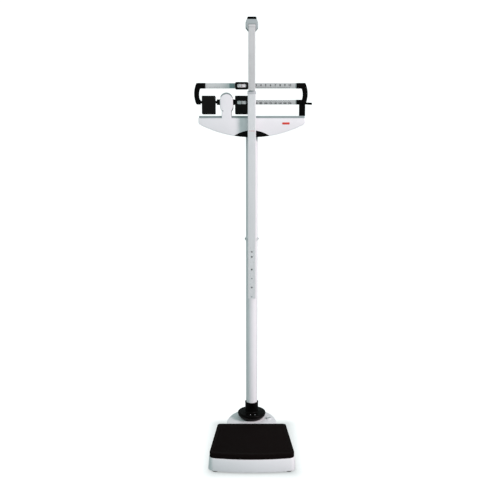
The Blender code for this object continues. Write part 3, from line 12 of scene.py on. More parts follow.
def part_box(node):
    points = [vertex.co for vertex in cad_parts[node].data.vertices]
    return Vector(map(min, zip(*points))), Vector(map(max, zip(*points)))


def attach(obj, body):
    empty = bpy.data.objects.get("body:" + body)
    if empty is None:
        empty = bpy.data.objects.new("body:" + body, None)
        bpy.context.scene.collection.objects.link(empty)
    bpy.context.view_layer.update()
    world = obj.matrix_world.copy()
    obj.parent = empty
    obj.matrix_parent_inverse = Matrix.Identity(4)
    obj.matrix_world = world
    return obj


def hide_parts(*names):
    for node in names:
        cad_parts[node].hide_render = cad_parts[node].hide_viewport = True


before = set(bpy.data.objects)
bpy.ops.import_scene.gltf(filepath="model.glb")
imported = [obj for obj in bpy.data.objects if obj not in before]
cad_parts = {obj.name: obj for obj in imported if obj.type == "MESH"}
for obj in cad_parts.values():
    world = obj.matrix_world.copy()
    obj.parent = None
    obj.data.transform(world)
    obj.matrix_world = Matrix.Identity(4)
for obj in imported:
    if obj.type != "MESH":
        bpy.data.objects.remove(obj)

log = logging.getLogger("column_scale")
logging.basicConfig(level=logging.INFO, format="%(message)s")

Point = tuple[float, float]
Place = tuple[float, float, float]
Loop = list[Point]

MM = 0.001
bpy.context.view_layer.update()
COLUMN = (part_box("column_tube")[0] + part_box("column_tube")[1]) / 2  # every place below is from this axis
COLUMN.z = 0.0
FIT = 0.3  # mm between pieces that touch
MERGE = 1e-4  # mm within which two corners are one
TUBE_RADIUS = 25.5
TUBE_BORE = 25.8  # any bore that holds the column tube
FULCRUM_X = -107.5
FULCRUM_Z = 1498.5
HEXAGON = 6  # facets of a socket key or a bolt head
DIAMOND = 4  # facets of a square bore stood on its corner
ROUND = 64  # facets of a round piece in full view
SMALL = 24  # facets of a screw or pin


# ---------------------------------------------------------------- outlines
def arc(centre: Point, radius: float, start: float, end: float, steps: int, squash: float = 1.0) -> Loop:
    """Draws points along an arc.

    Args:
        centre: middle of the arc.
        radius: its radius along the first coordinate.
        start: first angle in degrees.
        end: last angle in degrees.
        steps: how many spans to cut it into.
        squash: second radius over the first.

    Returns:
        The points, one more than the spans.
    """
    angles = [math.radians(start + (end - start) * i / steps) for i in range(steps + 1)]
    return [(centre[0] + radius * math.cos(a), centre[1] + radius * squash * math.sin(a)) for a in angles]


def rounded(corners: Sequence[tuple[float, float, float]], steps: int = 6) -> Loop:
    """Rounds the corners of a counter-clockwise outline.

    Args:
        corners: each corner and the radius of its arc, which may be 0.
        steps: spans in each arc.

    Returns:
        The outline with an arc at each corner that has a radius.
    """
    loop: Loop = []
    for i, (x, y, radius) in enumerate(corners):
        if radius == 0:
            loop.append((x, y))
            continue
        here = Vector((x, y))
        back = (Vector(corners[i - 1][:2]) - here).normalized()
        ahead = (Vector(corners[(i + 1) % len(corners)][:2]) - here).normalized()
        half = back.angle(ahead) / 2
        centre = here + (back + ahead).normalized() * (radius / math.sin(half))
        start = here + back * (radius / math.tan(half)) - centre
        end = here + ahead * (radius / math.tan(half)) - centre
        sweep = start.angle_signed(end)
        for step in range(steps + 1):
            point = centre + Matrix.Rotation(-sweep * step / steps, 2) @ start
            loop.append((point.x, point.y))
    return loop


def inset(loop: Loop, distance: float) -> Loop:
    """Moves every side of a counter-clockwise outline inwards by the same distance."""
    if distance == 0:
        return list(loop)
    moved: Loop = []
    for i, point in enumerate(loop):
        here = Vector(point)
        before = (here - Vector(loop[i - 1])).normalized()
        after = (Vector(loop[(i + 1) % len(loop)]) - here).normalized()
        normal = Vector((-before.y, before.x))
        middle = (normal + Vector((-after.y, after.x))).normalized()
        shifted = here + middle * (distance / max(middle.dot(normal), 0.35))
        moved.append((shifted.x, shifted.y))
    return moved


def panel(low: Point, high: Point, radius: float = 0.0, steps: int = 5) -> Loop:
    """Draws a rectangle between two corners, with rounded corners if a radius is given."""
    corners = [(low[0], low[1]), (high[0], low[1]), (high[0], high[1]), (low[0], high[1])]
    return rounded([(x, y, radius) for x, y in corners], steps)


def mirrored(right: Sequence[tuple[float, ...]]) -> list[tuple[float, ...]]:
    """Closes an outline from the points of its right side, listed bottom to top."""
    return list(right) + [(-p[0], *p[1:]) for p in reversed(right)]


# ---------------------------------------------------------------- meshes
class Axis(Enum):
    """The direction a profile is drawn along or turned about."""

    X = 0
    Y = 1
    Z = 2

    def point(self, across: float, up: float, along: float) -> Vector:
        """Places a profile's two coordinates and its distance along this axis."""
        if self is Axis.X:
            return Vector((along, across, up))
        if self is Axis.Y:
            return Vector((across, along, up))
        return Vector((across, up, along))


def settled_mesh(thing: bpy.types.Object) -> bpy.types.Mesh:
    """Returns a new mesh of an object with its modifiers applied."""
    bpy.context.view_layer.update()
    return bpy.data.meshes.new_from_object(thing.evaluated_get(bpy.context.evaluated_depsgraph_get()))


class Form:
    """A mesh under construction, in millimetres from the column's axis."""

    BOLDNESS = 0.03  # how far a figure's strokes are thickened, over its height

    def __init__(self) -> None:
        """Starts with nothing."""
        self.mesh = bmesh.new()

    def take(self, part: bmesh.types.BMesh) -> "Form":
        """Adds a finished closed body to this form and frees it."""
        bmesh.ops.recalc_face_normals(part, faces=part.faces)
        carrier = bpy.data.meshes.new("carrier")
        part.to_mesh(carrier)
        part.free()
        self.mesh.from_mesh(carrier)
        bpy.data.meshes.remove(carrier)
        return self

    def loft(self, rings: Sequence[Sequence[Vector]], joined: bool = False) -> "Form":
        """Skins a row of rings into one closed body.

        Args:
            rings: rings with the same number of points. The first or last may be a single point.
            joined: whether the last ring meets the first, as in a tube.

        Returns:
            This form.
        """
        part = bmesh.new()
        rows = [[part.verts.new(point) for point in ring] for ring in rings]
        pairs = list(zip(rows, rows[1:])) + ([(rows[-1], rows[0])] if joined else [])
        for first, second in pairs:
            count = max(len(first), len(second))
            for i in range(count):
                j = (i + 1) % count
                if len(first) == 1:
                    part.faces.new((first[0], second[i], second[j]))
                elif len(second) == 1:
                    part.faces.new((first[i], first[j], second[0]))
                else:
                    part.faces.new((first[i], first[j], second[j], second[i]))
        if not joined:
            for row in (rows[0], rows[-1]):
                if len(row) > 2:
                    part.faces.new(row)
        return self.take(part)

    def slab(
        self,
        loop: Loop,
        low: float,
        high: float,
        axis: Axis = Axis.Y,
        ease_low: float = 0.0,
        ease_high: float = 0.0,
        steps: int = 3,
    ) -> "Form":
        """Extrudes an outline between two distances, with its rims rounded over.

        Args:
            loop: counter-clockwise outline.
            low: where the body starts along the axis.
            high: where it ends.
            axis: direction of the extrusion.
            ease_low: radius of the rim at the start.
            ease_high: radius of the rim at the end.
            steps: spans in each rounded rim.

        Returns:
            This form.
        """
        rings = []
        for end, ease, inward in ((low, ease_low, 1), (high, ease_high, -1)):
            turns = [i / steps for i in range(steps + 1)] if ease else [1.0]
            rim = []
            for turn in turns:
                angle = turn * math.pi / 2
                outline = inset(loop, ease * (1 - math.sin(angle)))
                along = end + inward * ease * (1 - math.cos(angle))
                rim.append([axis.point(x, y, along) for x, y in outline])
            rings += rim if inward > 0 else rim[::-1]
        return self.loft(rings)

    def box(self, low: Place, high: Place, ease: float = 0.0) -> "Form":
        """Adds a box between two corners, with all its edges rounded if an ease is given."""
        loop = panel((low[0], low[2]), (high[0], high[2]), ease * 1.05)
        return self.slab(loop, low[1], high[1], Axis.Y, ease, ease)

    def turned(
        self,
        profile: Loop,
        centre: Place = (0, 0, 0),
        axis: Axis = Axis.Z,
        steps: int = ROUND,
        joined: bool = False,
    ) -> "Form":
        """Turns a profile of radius and distance about an axis.

        Args:
            profile: points of radius and distance along the axis.
            centre: a point on the axis.
            axis: the axis it turns about.
            steps: facets round it.
            joined: whether the profile closes on itself, as in a ring.

        Returns:
            This form.
        """
        middle = Vector(centre)
        rings = []
        for radius, along in profile:
            if radius == 0:
                rings.append([axis.point(0, 0, along) + middle])
                continue
            angles = [math.tau * i / steps for i in range(steps)]
            around = [(radius * math.cos(a), radius * math.sin(a)) for a in angles]
            rings.append([axis.point(x, y, along) + middle for x, y in around])
        return self.loft(rings, joined)

    def numeral(self, words: str, size: float, place: Place, depth: float = 0.16) -> "Form":
        """Adds raised figures that face the front.

        Args:
            words: the figures.
            size: height of the type.
            place: middle of the figures, at their back.
            depth: how far they stand up.

        Returns:
            This form.
        """
        curve = bpy.data.curves.new("figures", "FONT")
        curve.body = words
        curve.size = size
        curve.align_x, curve.align_y = "CENTER", "CENTER"
        curve.extrude = depth / 2
        curve.offset = self.BOLDNESS * size
        curve.resolution_u = 2
        figures = bpy.data.objects.new("figures", curve)
        bpy.context.scene.collection.objects.link(figures)
        drawn = settled_mesh(figures)
        bpy.data.objects.remove(figures)
        bpy.data.curves.remove(curve)
        upright = Matrix.Rotation(math.pi / 2, 4, "X")
        drawn.transform(Matrix.Translation(Vector(place) - Vector((0, depth / 2, 0))) @ upright)
        part = bmesh.new()
        part.from_mesh(drawn)
        bpy.data.meshes.remove(drawn)
        bmesh.ops.remove_doubles(part, verts=part.verts, dist=MERGE)
        return self.take(part)

    def moved(self, matrix: Matrix) -> "Form":
        """Moves everything made so far."""
        bmesh.ops.transform(self.mesh, matrix=matrix, verts=self.mesh.verts)
        return self

    def combined(self, other: "Form", operation: str) -> "Form":
        """Cuts, joins or keeps the overlap of this form and another, which is used up."""
        things = []
        for form in (self, other):
            carrier = bpy.data.meshes.new("carrier")
            form.mesh.to_mesh(carrier)
            form.mesh.free()
            thing = bpy.data.objects.new("carrier", carrier)
            bpy.context.scene.collection.objects.link(thing)
            things.append(thing)
        step = things[0].modifiers.new("step", "BOOLEAN")
        step.operation, step.object, step.solver = operation, things[1], "EXACT"
        done = settled_mesh(things[0])
        self.mesh = bmesh.new()
        self.mesh.from_mesh(done)
        bpy.data.meshes.remove(done)
        for thing in things:
            carrier = thing.data
            bpy.data.objects.remove(thing)
            bpy.data.meshes.remove(carrier)
        return self

    def cut(self, *others: "Form") -> "Form":
        """Takes other forms away from this one."""
        for other in others:
            self.combined(other, "DIFFERENCE")
        return self

    def weld(self, *others: "Form") -> "Form":
        """Joins other forms to this one as one body."""
        for other in others:
            self.combined(other, "UNION")
        return self


def rod(
    radius: float,
    start: float,
    end: float,
    centre: Place,
    axis: Axis,
    ease: float = 0.0,
    steps: int = SMALL,
) -> Form:
    """Makes a round or many-sided bar between two distances, with eased ends."""
    profile = [(0, start), (radius - ease, start)]
    profile += [(radius, start + ease), (radius, end - ease)] if ease else []
    profile += [(radius - ease, end), (0, end)]
    return Form().turned(profile, centre, axis, steps)


def screw_head(centre: Place, axis: Axis, radius: float, height: float, outward: int,
               recess: float = 0.5) -> Form:
    """Makes a button head with a six-sided socket.

    Args:
        centre: middle of its seat.
        axis: the axis it turns about.
        radius: outer radius.
        height: how far it stands up.
        outward: 1 or -1, the way it faces along the axis.
        recess: socket radius over the head's.

    Returns:
        The head.
    """
    shoulder = 62  # degrees of the dome before its flat top
    dome = arc((0, 0), radius, 0, shoulder, 6, height / radius)
    profile = [(0, 0)] + [(r, h * outward) for r, h in dome] + [(0, dome[-1][1] * outward)]
    head = Form().turned(profile, centre, axis, SMALL)
    depth = sorted((0.45 * height * outward, 2 * height * outward))
    return head.cut(rod(radius * recess, *depth, centre, axis, steps=HEXAGON))


# ---------------------------------------------------------------- shader groups
class Shading:
    """Shader node groups that several finishes share."""

    made: dict[str, bpy.types.NodeTree] = {}
    RELIEF = (("Height", "NodeSocketFloat"), ("Tone", "NodeSocketFloat"))
    MIDDLE = (0.3, 0.7)  # the part of a noise that is stretched from nothing to full

    @classmethod
    def group(
        cls,
        name: str,
        inputs: Sequence[tuple[str, str, object]],
        outputs: Sequence[tuple[str, str]],
        build: Callable[[bpy.types.NodeTree, bpy.types.Node, bpy.types.Node], None],
    ) -> bpy.types.NodeTree:
        """Returns a node group by name, and builds it on its first use.

        Args:
            name: the group's name.
            inputs: label, socket type and first value of each input.
            outputs: label and socket type of each output.
            build: wires the group between its input node and its output node.

        Returns:
            The group.
        """
        if name in cls.made:
            return cls.made[name]
        tree = bpy.data.node_groups.new(name, "ShaderNodeTree")
        for label, kind, value in inputs:
            socket = tree.interface.new_socket(name=label, in_out="INPUT", socket_type=kind)
            if value is not None:
                socket.default_value = value
        for label, kind in outputs:
            tree.interface.new_socket(name=label, in_out="OUTPUT", socket_type=kind)
        build(tree, tree.nodes.new("NodeGroupInput"), tree.nodes.new("NodeGroupOutput"))
        cls.made[name] = tree
        return tree

    @staticmethod
    def noise(
        tree: bpy.types.NodeTree,
        place: bpy.types.NodeSocket,
        scale: float,
        detail: float,
        roughness: float = 0.5,
    ) -> bpy.types.Node:
        """Adds a noise texture with fixed settings at a place."""
        node = tree.nodes.new("ShaderNodeTexNoise")
        tree.links.new(place, node.inputs["Vector"])
        node.inputs["Scale"].default_value = scale
        node.inputs["Detail"].default_value = detail
        node.inputs["Roughness"].default_value = roughness
        return node

    @staticmethod
    def spread(tree: bpy.types.NodeTree, source: bpy.types.NodeSocket, low: float, high: float,
               to_low: float = 0.0, to_high: float = 1.0) -> bpy.types.NodeSocket:
        """Maps one range of a value to another, held at its ends."""
        node = tree.nodes.new("ShaderNodeMapRange")
        tree.links.new(source, node.inputs["Value"])
        for socket, value in (("From Min", low), ("From Max", high), ("To Min", to_low), ("To Max", to_high)):
            node.inputs[socket].default_value = value
        return node.outputs["Result"]

    @staticmethod
    def reckon(
        tree: bpy.types.NodeTree, operation: str, *values: bpy.types.NodeSocket | float
    ) -> bpy.types.NodeSocket:
        """Adds a Math node and returns what it puts out."""
        node = tree.nodes.new("ShaderNodeMath")
        node.operation = operation
        for socket, value in zip(node.inputs, values):
            if isinstance(value, float):
                socket.default_value = value
            else:
                tree.links.new(value, socket)
        return node.outputs[0]

    @classmethod
    def grain(cls) -> bpy.types.NodeTree:
        """Fine pebbled grain, with slow drifts of tone across it."""

        def build(tree: bpy.types.NodeTree, given: bpy.types.Node, result: bpy.types.Node) -> None:
            """Wires the group."""
            fine = cls.noise(tree, given.outputs["Vector"], 900, 3)
            tree.links.new(given.outputs["Scale"], fine.inputs["Scale"])
            drift = cls.noise(tree, given.outputs["Vector"], 9, 4, 0.6)
            tree.links.new(cls.spread(tree, fine.outputs["Fac"], *cls.MIDDLE), result.inputs["Height"])
            tree.links.new(cls.spread(tree, drift.outputs["Fac"], *cls.MIDDLE), result.inputs["Tone"])

        sockets = [("Vector", "NodeSocketVector", None), ("Scale", "NodeSocketFloat", 900.0)]
        return cls.group("surface_grain", sockets, cls.RELIEF, build)

    @classmethod
    def drawn(cls) -> bpy.types.NodeTree:
        """Long fine lines left by drawing or brushing, along the direction with the small stretch."""

        def build(tree: bpy.types.NodeTree, given: bpy.types.Node, result: bpy.types.Node) -> None:
            """Wires the group."""
            stretched = tree.nodes.new("ShaderNodeVectorMath")
            stretched.operation = "MULTIPLY"
            tree.links.new(given.outputs["Vector"], stretched.inputs[0])
            tree.links.new(given.outputs["Stretch"], stretched.inputs[1])
            lines = cls.noise(tree, stretched.outputs["Vector"], 1, 4, 0.7)
            drift = cls.noise(tree, given.outputs["Vector"], 14, 3)
            tree.links.new(cls.spread(tree, lines.outputs["Fac"], *cls.MIDDLE), result.inputs["Height"])
            tree.links.new(cls.spread(tree, drift.outputs["Fac"], *cls.MIDDLE), result.inputs["Tone"])

        sockets = [("Vector", "NodeSocketVector", None),
                   ("Stretch", "NodeSocketVector", (1500.0, 1500.0, 9.0))]
        return cls.group("drawn_lines", sockets, cls.RELIEF, build)

    @classmethod
    def weathered(cls) -> bpy.types.NodeTree:
        """Settled dust on upward faces and handling marks on edges and in patches, laid over a colour."""

        def build(tree: bpy.types.NodeTree, given: bpy.types.Node, result: bpy.types.Node) -> None:
            """Wires the group."""
            surface = tree.nodes.new("ShaderNodeNewGeometry")
            parts = tree.nodes.new("ShaderNodeSeparateXYZ")
            tree.links.new(surface.outputs["Normal"], parts.inputs["Vector"])
            cloud = cls.noise(tree, given.outputs["Vector"], 38, 5, 0.65)
            facing = cls.spread(tree, parts.outputs["Z"], 0.2, 1.0)
            patchy = cls.spread(tree, cloud.outputs["Fac"], 0.40, 0.72)
            edges = cls.spread(tree, surface.outputs["Pointiness"], 0.52, 0.62)
            colour = given.outputs["Colour"]
            masks = (
                (facing, patchy, given.outputs["Dust"], given.outputs["Dust Colour"]),
                (edges, patchy, given.outputs["Wear"], given.outputs["Worn Colour"]),
            )
            for first, second, amount, over in masks:
                both = cls.reckon(tree, "MULTIPLY", first, second)
                level = cls.reckon(tree, "MULTIPLY", both, amount)
                mix = tree.nodes.new("ShaderNodeMix")
                mix.data_type = "RGBA"
                tree.links.new(level, mix.inputs["Factor"])
                tree.links.new(colour, mix.inputs["A"])
                tree.links.new(over, mix.inputs["B"])
                colour = mix.outputs["Result"]
            tree.links.new(colour, result.inputs["Colour"])

        sockets = [
            ("Vector", "NodeSocketVector", None),
            ("Colour", "NodeSocketColor", (1, 1, 1, 1)),
            ("Dust", "NodeSocketFloat", 0.0),
            ("Dust Colour", "NodeSocketColor", (0.6, 0.58, 0.55, 1)),
            ("Wear", "NodeSocketFloat", 0.0),
            ("Worn Colour", "NodeSocketColor", (0.5, 0.5, 0.5, 1)),
        ]
        return cls.group("dust_and_wear", sockets, [("Colour", "NodeSocketColor")], build)


class Texture(Enum):
    """What a finish's surface is like close up."""

    GRAINED = "grained"
    DRAWN = "drawn"
    CLEAR = "clear"


@dataclass(frozen=True)
class Finish:
    """One finish of the scale and the node material that shows it."""

    name: str
    slot: str
    colour: Place
    roughness: float
    metallic: float = 0.0
    texture: Texture = Texture.GRAINED
    scale: float = 900.0
    relief: float = 0.05
    depth: float = 0.0002
    drift: float = 0.04
    coat: float = 0.0
    specular: float = 0.5
    stretch: Place = (1500.0, 1500.0, 9.0)
    dust: float = 0.0
    wear: float = 0.0
    worn: Place = (0.5, 0.5, 0.5)
    coat_roughness: float = 0.12
    rough_drift: float = 0.10
    clear_alpha: float = 0.16
    clear_ior: float = 1.49

    def material(self) -> bpy.types.Material:
        """Returns the finish's material, built on its first use."""
        made = bpy.data.materials.get(self.name)
        if made is None:
            made = bpy.data.materials.new(self.name)
            made.use_nodes = True
            self.wire(made.node_tree)
        return made

    def wire(self, tree: bpy.types.NodeTree) -> None:
        """Builds the material's nodes.

        Args:
            tree: the material's node tree, which holds a Principled shader.
        """
        shader = tree.nodes["Principled BSDF"]
        shader.inputs["Base Color"].default_value = (*self.colour, 1)
        shader.inputs["Roughness"].default_value = self.roughness
        shader.inputs["Metallic"].default_value = self.metallic
        shader.inputs["Coat Weight"].default_value = self.coat
        shader.inputs["Specular IOR Level"].default_value = self.specular
        shader.inputs["Coat Roughness"].default_value = self.coat_roughness
        if self.texture is Texture.CLEAR:
            shader.inputs["Alpha"].default_value = self.clear_alpha
            shader.inputs["IOR"].default_value = self.clear_ior
        place = tree.nodes.new("ShaderNodeTexCoord").outputs["Object"]
        surface = tree.nodes.new("ShaderNodeGroup")
        if self.texture is Texture.DRAWN:
            surface.node_tree = Shading.drawn()
            surface.inputs["Stretch"].default_value = self.stretch
        else:
            surface.node_tree = Shading.grain()
            surface.inputs["Scale"].default_value = self.scale
        tree.links.new(place, surface.inputs["Vector"])
        bump = tree.nodes.new("ShaderNodeBump")
        bump.inputs["Strength"].default_value = self.relief
        bump.inputs["Distance"].default_value = self.depth
        tree.links.new(surface.outputs["Height"], bump.inputs["Height"])
        tree.links.new(bump.outputs["Normal"], shader.inputs["Normal"])
        if self.texture is Texture.CLEAR:
            return
        spread = self.rough_drift * self.roughness
        ends = (self.roughness - spread, self.roughness + spread)
        rough = Shading.spread(tree, surface.outputs["Tone"], 0, 1, *ends)
        tree.links.new(rough, shader.inputs["Roughness"])
        tone = tree.nodes.new("ShaderNodeMix")
        tone.data_type = "RGBA"
        tone.inputs["A"].default_value = (*(c * (1 - self.drift) for c in self.colour), 1)
        tone.inputs["B"].default_value = (*(min(1.0, c * (1 + self.drift)) for c in self.colour), 1)
        source = "Height" if self.texture is Texture.DRAWN else "Tone"
        tree.links.new(surface.outputs[source], tone.inputs["Factor"])
        weather = tree.nodes.new("ShaderNodeGroup")
        weather.node_tree = Shading.weathered()
        tree.links.new(place, weather.inputs["Vector"])
        tree.links.new(tone.outputs["Result"], weather.inputs["Colour"])
        weather.inputs["Dust"].default_value = self.dust
        weather.inputs["Wear"].default_value = self.wear
        weather.inputs["Worn Colour"].default_value = (*self.worn, 1)
        tree.links.new(weather.outputs["Colour"], shader.inputs["Base Color"])


LACQUER = Finish("white_stove_lacquer", "white_lacquer", (0.86, 0.87, 0.89), 0.30, scale=420, relief=0.06,
                 drift=0.012, coat=0.35, dust=0.04)
# painted shade: this grey-teal stands in for white moulding seen in shade on its top faces; the housing cover
# and the crest hood wear it instead of their own white
PAINTED_SHADE_TRIM = Finish("cover_moulding_painted_shade", "grey_trim", (0.275, 0.335, 0.335), 0.46, scale=1400, relief=0.12,
              dust=0.06)
BLACK = Finish("black_satin_moulding", "black_plastic", (0.0014, 0.0012, 0.0011), 0.42, scale=1600,
               relief=0.16, specular=0.06)
MAT_RUBBER = Finish("mat_rubber", "black_rubber", (0.0052, 0.0030, 0.0028), 0.62, scale=2200, relief=0.30,
                    specular=0.05)
PAD_RUBBER = Finish("foot_rubber", "black_rubber", (0.020, 0.020, 0.020), 0.72, scale=1500, relief=0.25,
                    dust=0.10)
CASTING = Finish("black_painted_casting", "black_iron", (0.0028, 0.0026, 0.0017), 0.50, 0.0, scale=520,
                 relief=0.28, depth=0.0004, wear=0.10, worn=(0.03, 0.03, 0.03), specular=0.14)
EXTRUSION = Finish("anodised_extrusion", "satin_aluminium", (0.80, 0.82, 0.83), 0.42, 0.30, Texture.DRAWN,
                   relief=0.10, drift=0.035)
BEAM_METAL = Finish("anodised_beam", "satin_aluminium", (0.56, 0.58, 0.58), 0.42, 0.45, Texture.DRAWN,
                    relief=0.12, drift=0.05, stretch=(9.0, 1500.0, 1500.0))
STEEL = Finish("machined_steel", "bare_steel", (0.48, 0.48, 0.50), 0.34, 0.95, scale=1100, relief=0.12)
SHEET_STEEL = Finish("pressed_sheet_steel", "bare_steel", (0.42, 0.43, 0.44), 0.45, 0.9, Texture.DRAWN,
                     relief=0.10, stretch=(9.0, 900.0, 900.0))
HEAD_GREY = Finish("grey_satin_moulding", "grey_plastic", (0.40, 0.455, 0.46), 0.42, scale=1500,
                   relief=0.14, dust=0.03)
TONGUE_GREY = Finish("pale_tongue_moulding", "grey_plastic", (0.64, 0.66, 0.66), 0.42, scale=1500,
                     relief=0.12)
MOUTH_GREY = Finish("rod_mouth_moulding", "grey_plastic", (0.55, 0.58, 0.60), 0.45, scale=1500, relief=0.12)
INK = Finish("scale_ink", "black_plastic", (0.012, 0.013, 0.015), 0.6, scale=2000, relief=0.05)
PALE_INK = Finish("rod_ink", "grey_plastic", (0.22, 0.24, 0.25), 0.6, scale=2000, relief=0.05)
RED = Finish("red_enamel", "grey_plastic", (0.72, 0.055, 0.035), 0.42, scale=1500, relief=0.05)
WINDOW_WHITE = Finish("white_index_plate", "white_lacquer", (0.88, 0.89, 0.90), 0.40, scale=1500, relief=0.05)
CLEAR = Finish("clear_window", "clear_plastic", (0.97, 0.98, 0.98), 0.04, texture=Texture.CLEAR, scale=300,
               relief=0.01)
LIQUID = Finish("level_liquid", "clear_plastic", (0.36, 0.50, 0.46), 0.12, scale=300, relief=0.01, coat=0.5)
BUBBLE = Finish("level_bubble", "clear_plastic", (0.80, 0.90, 0.86), 0.06, scale=300, relief=0.01, coat=1.0)
PALE_PLATE = Finish("pale_plate_metal", "satin_aluminium", (0.72, 0.74, 0.74), 0.40, 0.2, Texture.DRAWN,
                    relief=0.10, drift=0.12, stretch=(9.0, 1500.0, 1500.0))
ZERO_PLATE = Finish("zero_plate_enamel", "grey_plastic", (0.25, 0.375, 0.38), 0.40, scale=1500, relief=0.05)
PAPER = Finish("studio_paper", "white_lacquer", (0.55, 0.56, 0.56), 0.9, scale=60, relief=0.0, drift=0.0)


# ---------------------------------------------------------------- the bench
class Bench:
    """Puts finished forms into the scene and on their bodies."""

    def __init__(self) -> None:
        """Makes the collection that holds every added piece."""
        self.pieces = bpy.data.collections.new("scale_pieces")
        bpy.context.scene.collection.children.link(self.pieces)
        self.to_world = Matrix.Translation(COLUMN) @ Matrix.Scale(MM, 4)

    def add(self, name: str, form: Form, body: str, finish: Finish, stands_for: Iterable[str] = (),
            crease: float = 32.0) -> bpy.types.Object:
        """Adds one piece.

        Args:
            name: the piece's name.
            form: its mesh, which is used up.
            body: the body it moves with.
            finish: its finish.
            stands_for: the solid nodes that it replaces.
            crease: edges sharper than this, in degrees, stay crisp.

        Returns:
            The new object.
        """
        mesh = bpy.data.meshes.new(name)
        bmesh.ops.remove_doubles(form.mesh, verts=form.mesh.verts, dist=MERGE)
        form.mesh.to_mesh(mesh)
        form.mesh.free()
        mesh.transform(self.to_world)
        mesh.shade_smooth()
        mesh.set_sharp_from_angle(angle=math.radians(crease))
        piece = bpy.data.objects.new(name, mesh)
        self.pieces.objects.link(piece)
        mesh.materials.clear()
        mesh.materials.append(finish.material())
        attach(piece, body)
        for node in stands_for:
            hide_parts(node)
        log.info("%-26s on %-18s %6d faces", name, body, len(mesh.polygons))
        return piece

    def dress(self, finish: Finish, *nodes: str) -> None:
        """Gives solid nodes that keep their shape a finish."""
        for node in nodes:
            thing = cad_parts[node]
            if not thing.material_slots:
                thing.data.materials.append(None)
            for held in thing.material_slots:
                held.material = finish.material()
            log.info("%-26s dressed as %s", node, finish.name)


# ---------------------------------------------------------------- base
@dataclass(frozen=True)
class Footprint:
    """Outlines of the base and of the platform above it."""

    front: float = -405.0
    back: float = -86.0
    front_half: float = 181.0
    back_half: float = 158.0
    bulge: float = 18.0
    corner: float = 26.0
    back_corner: float = 20.0
    tongue_half: float = 116.0
    tongue_start: float = -50.0
    tongue_length: float = 155.0

    def front_side(self) -> list[tuple[float, float, float]]:
        """Returns the bulged front edge with both its corners."""
        radius = (self.front_half**2 + self.bulge**2) / (2 * self.bulge)
        spread = math.degrees(math.asin(self.front_half / radius))
        bow = arc((0, self.front + radius), radius, 270 - spread, 270 + spread, 18)
        corner_y = self.front + self.bulge
        middle = [(x, y, 0.0) for x, y in bow[2:-2]]
        return [(-self.front_half, corner_y, self.corner), *middle, (self.front_half, corner_y, self.corner)]

    def tongue(self) -> Loop:
        """Returns the rounded back that carries the column, from right to left."""
        return arc((0, self.tongue_start), self.tongue_half, 0, 180, 44,
                   self.tongue_length / self.tongue_half)

    def platform(self, setback: float) -> Loop:
        """Returns the tapering platform outline, set back from the foot of the base wall."""
        rear = [(self.back_half, self.back, self.back_corner), (-self.back_half, self.back, self.back_corner)]
        return inset(rounded(self.front_side() + rear, 8), setback)

    def base(self, setback: float) -> Loop:
        """Returns the platform outline with the tongue behind it."""
        rear = [(self.back_half, self.back, self.back_corner), (self.tongue_half, self.back, 4.0)]
        corners = self.front_side() + rear + [(x, y, 0.0) for x, y in self.tongue()]
        corners += [(-x, y, radius) for x, y, radius in reversed(rear)]
        return inset(rounded(corners, 8), setback)

    def deck(self, setback: float) -> Loop:
        """Returns the outline of the tongue's lid."""
        edge = self.back - 1.0
        corners = [(self.tongue_half, edge, 10.0)] + [(x, y, 0.0) for x, y in self.tongue()]
        return inset(rounded(corners + [(-self.tongue_half, edge, 10.0)], 6), setback)


FOOTPRINT = Footprint()


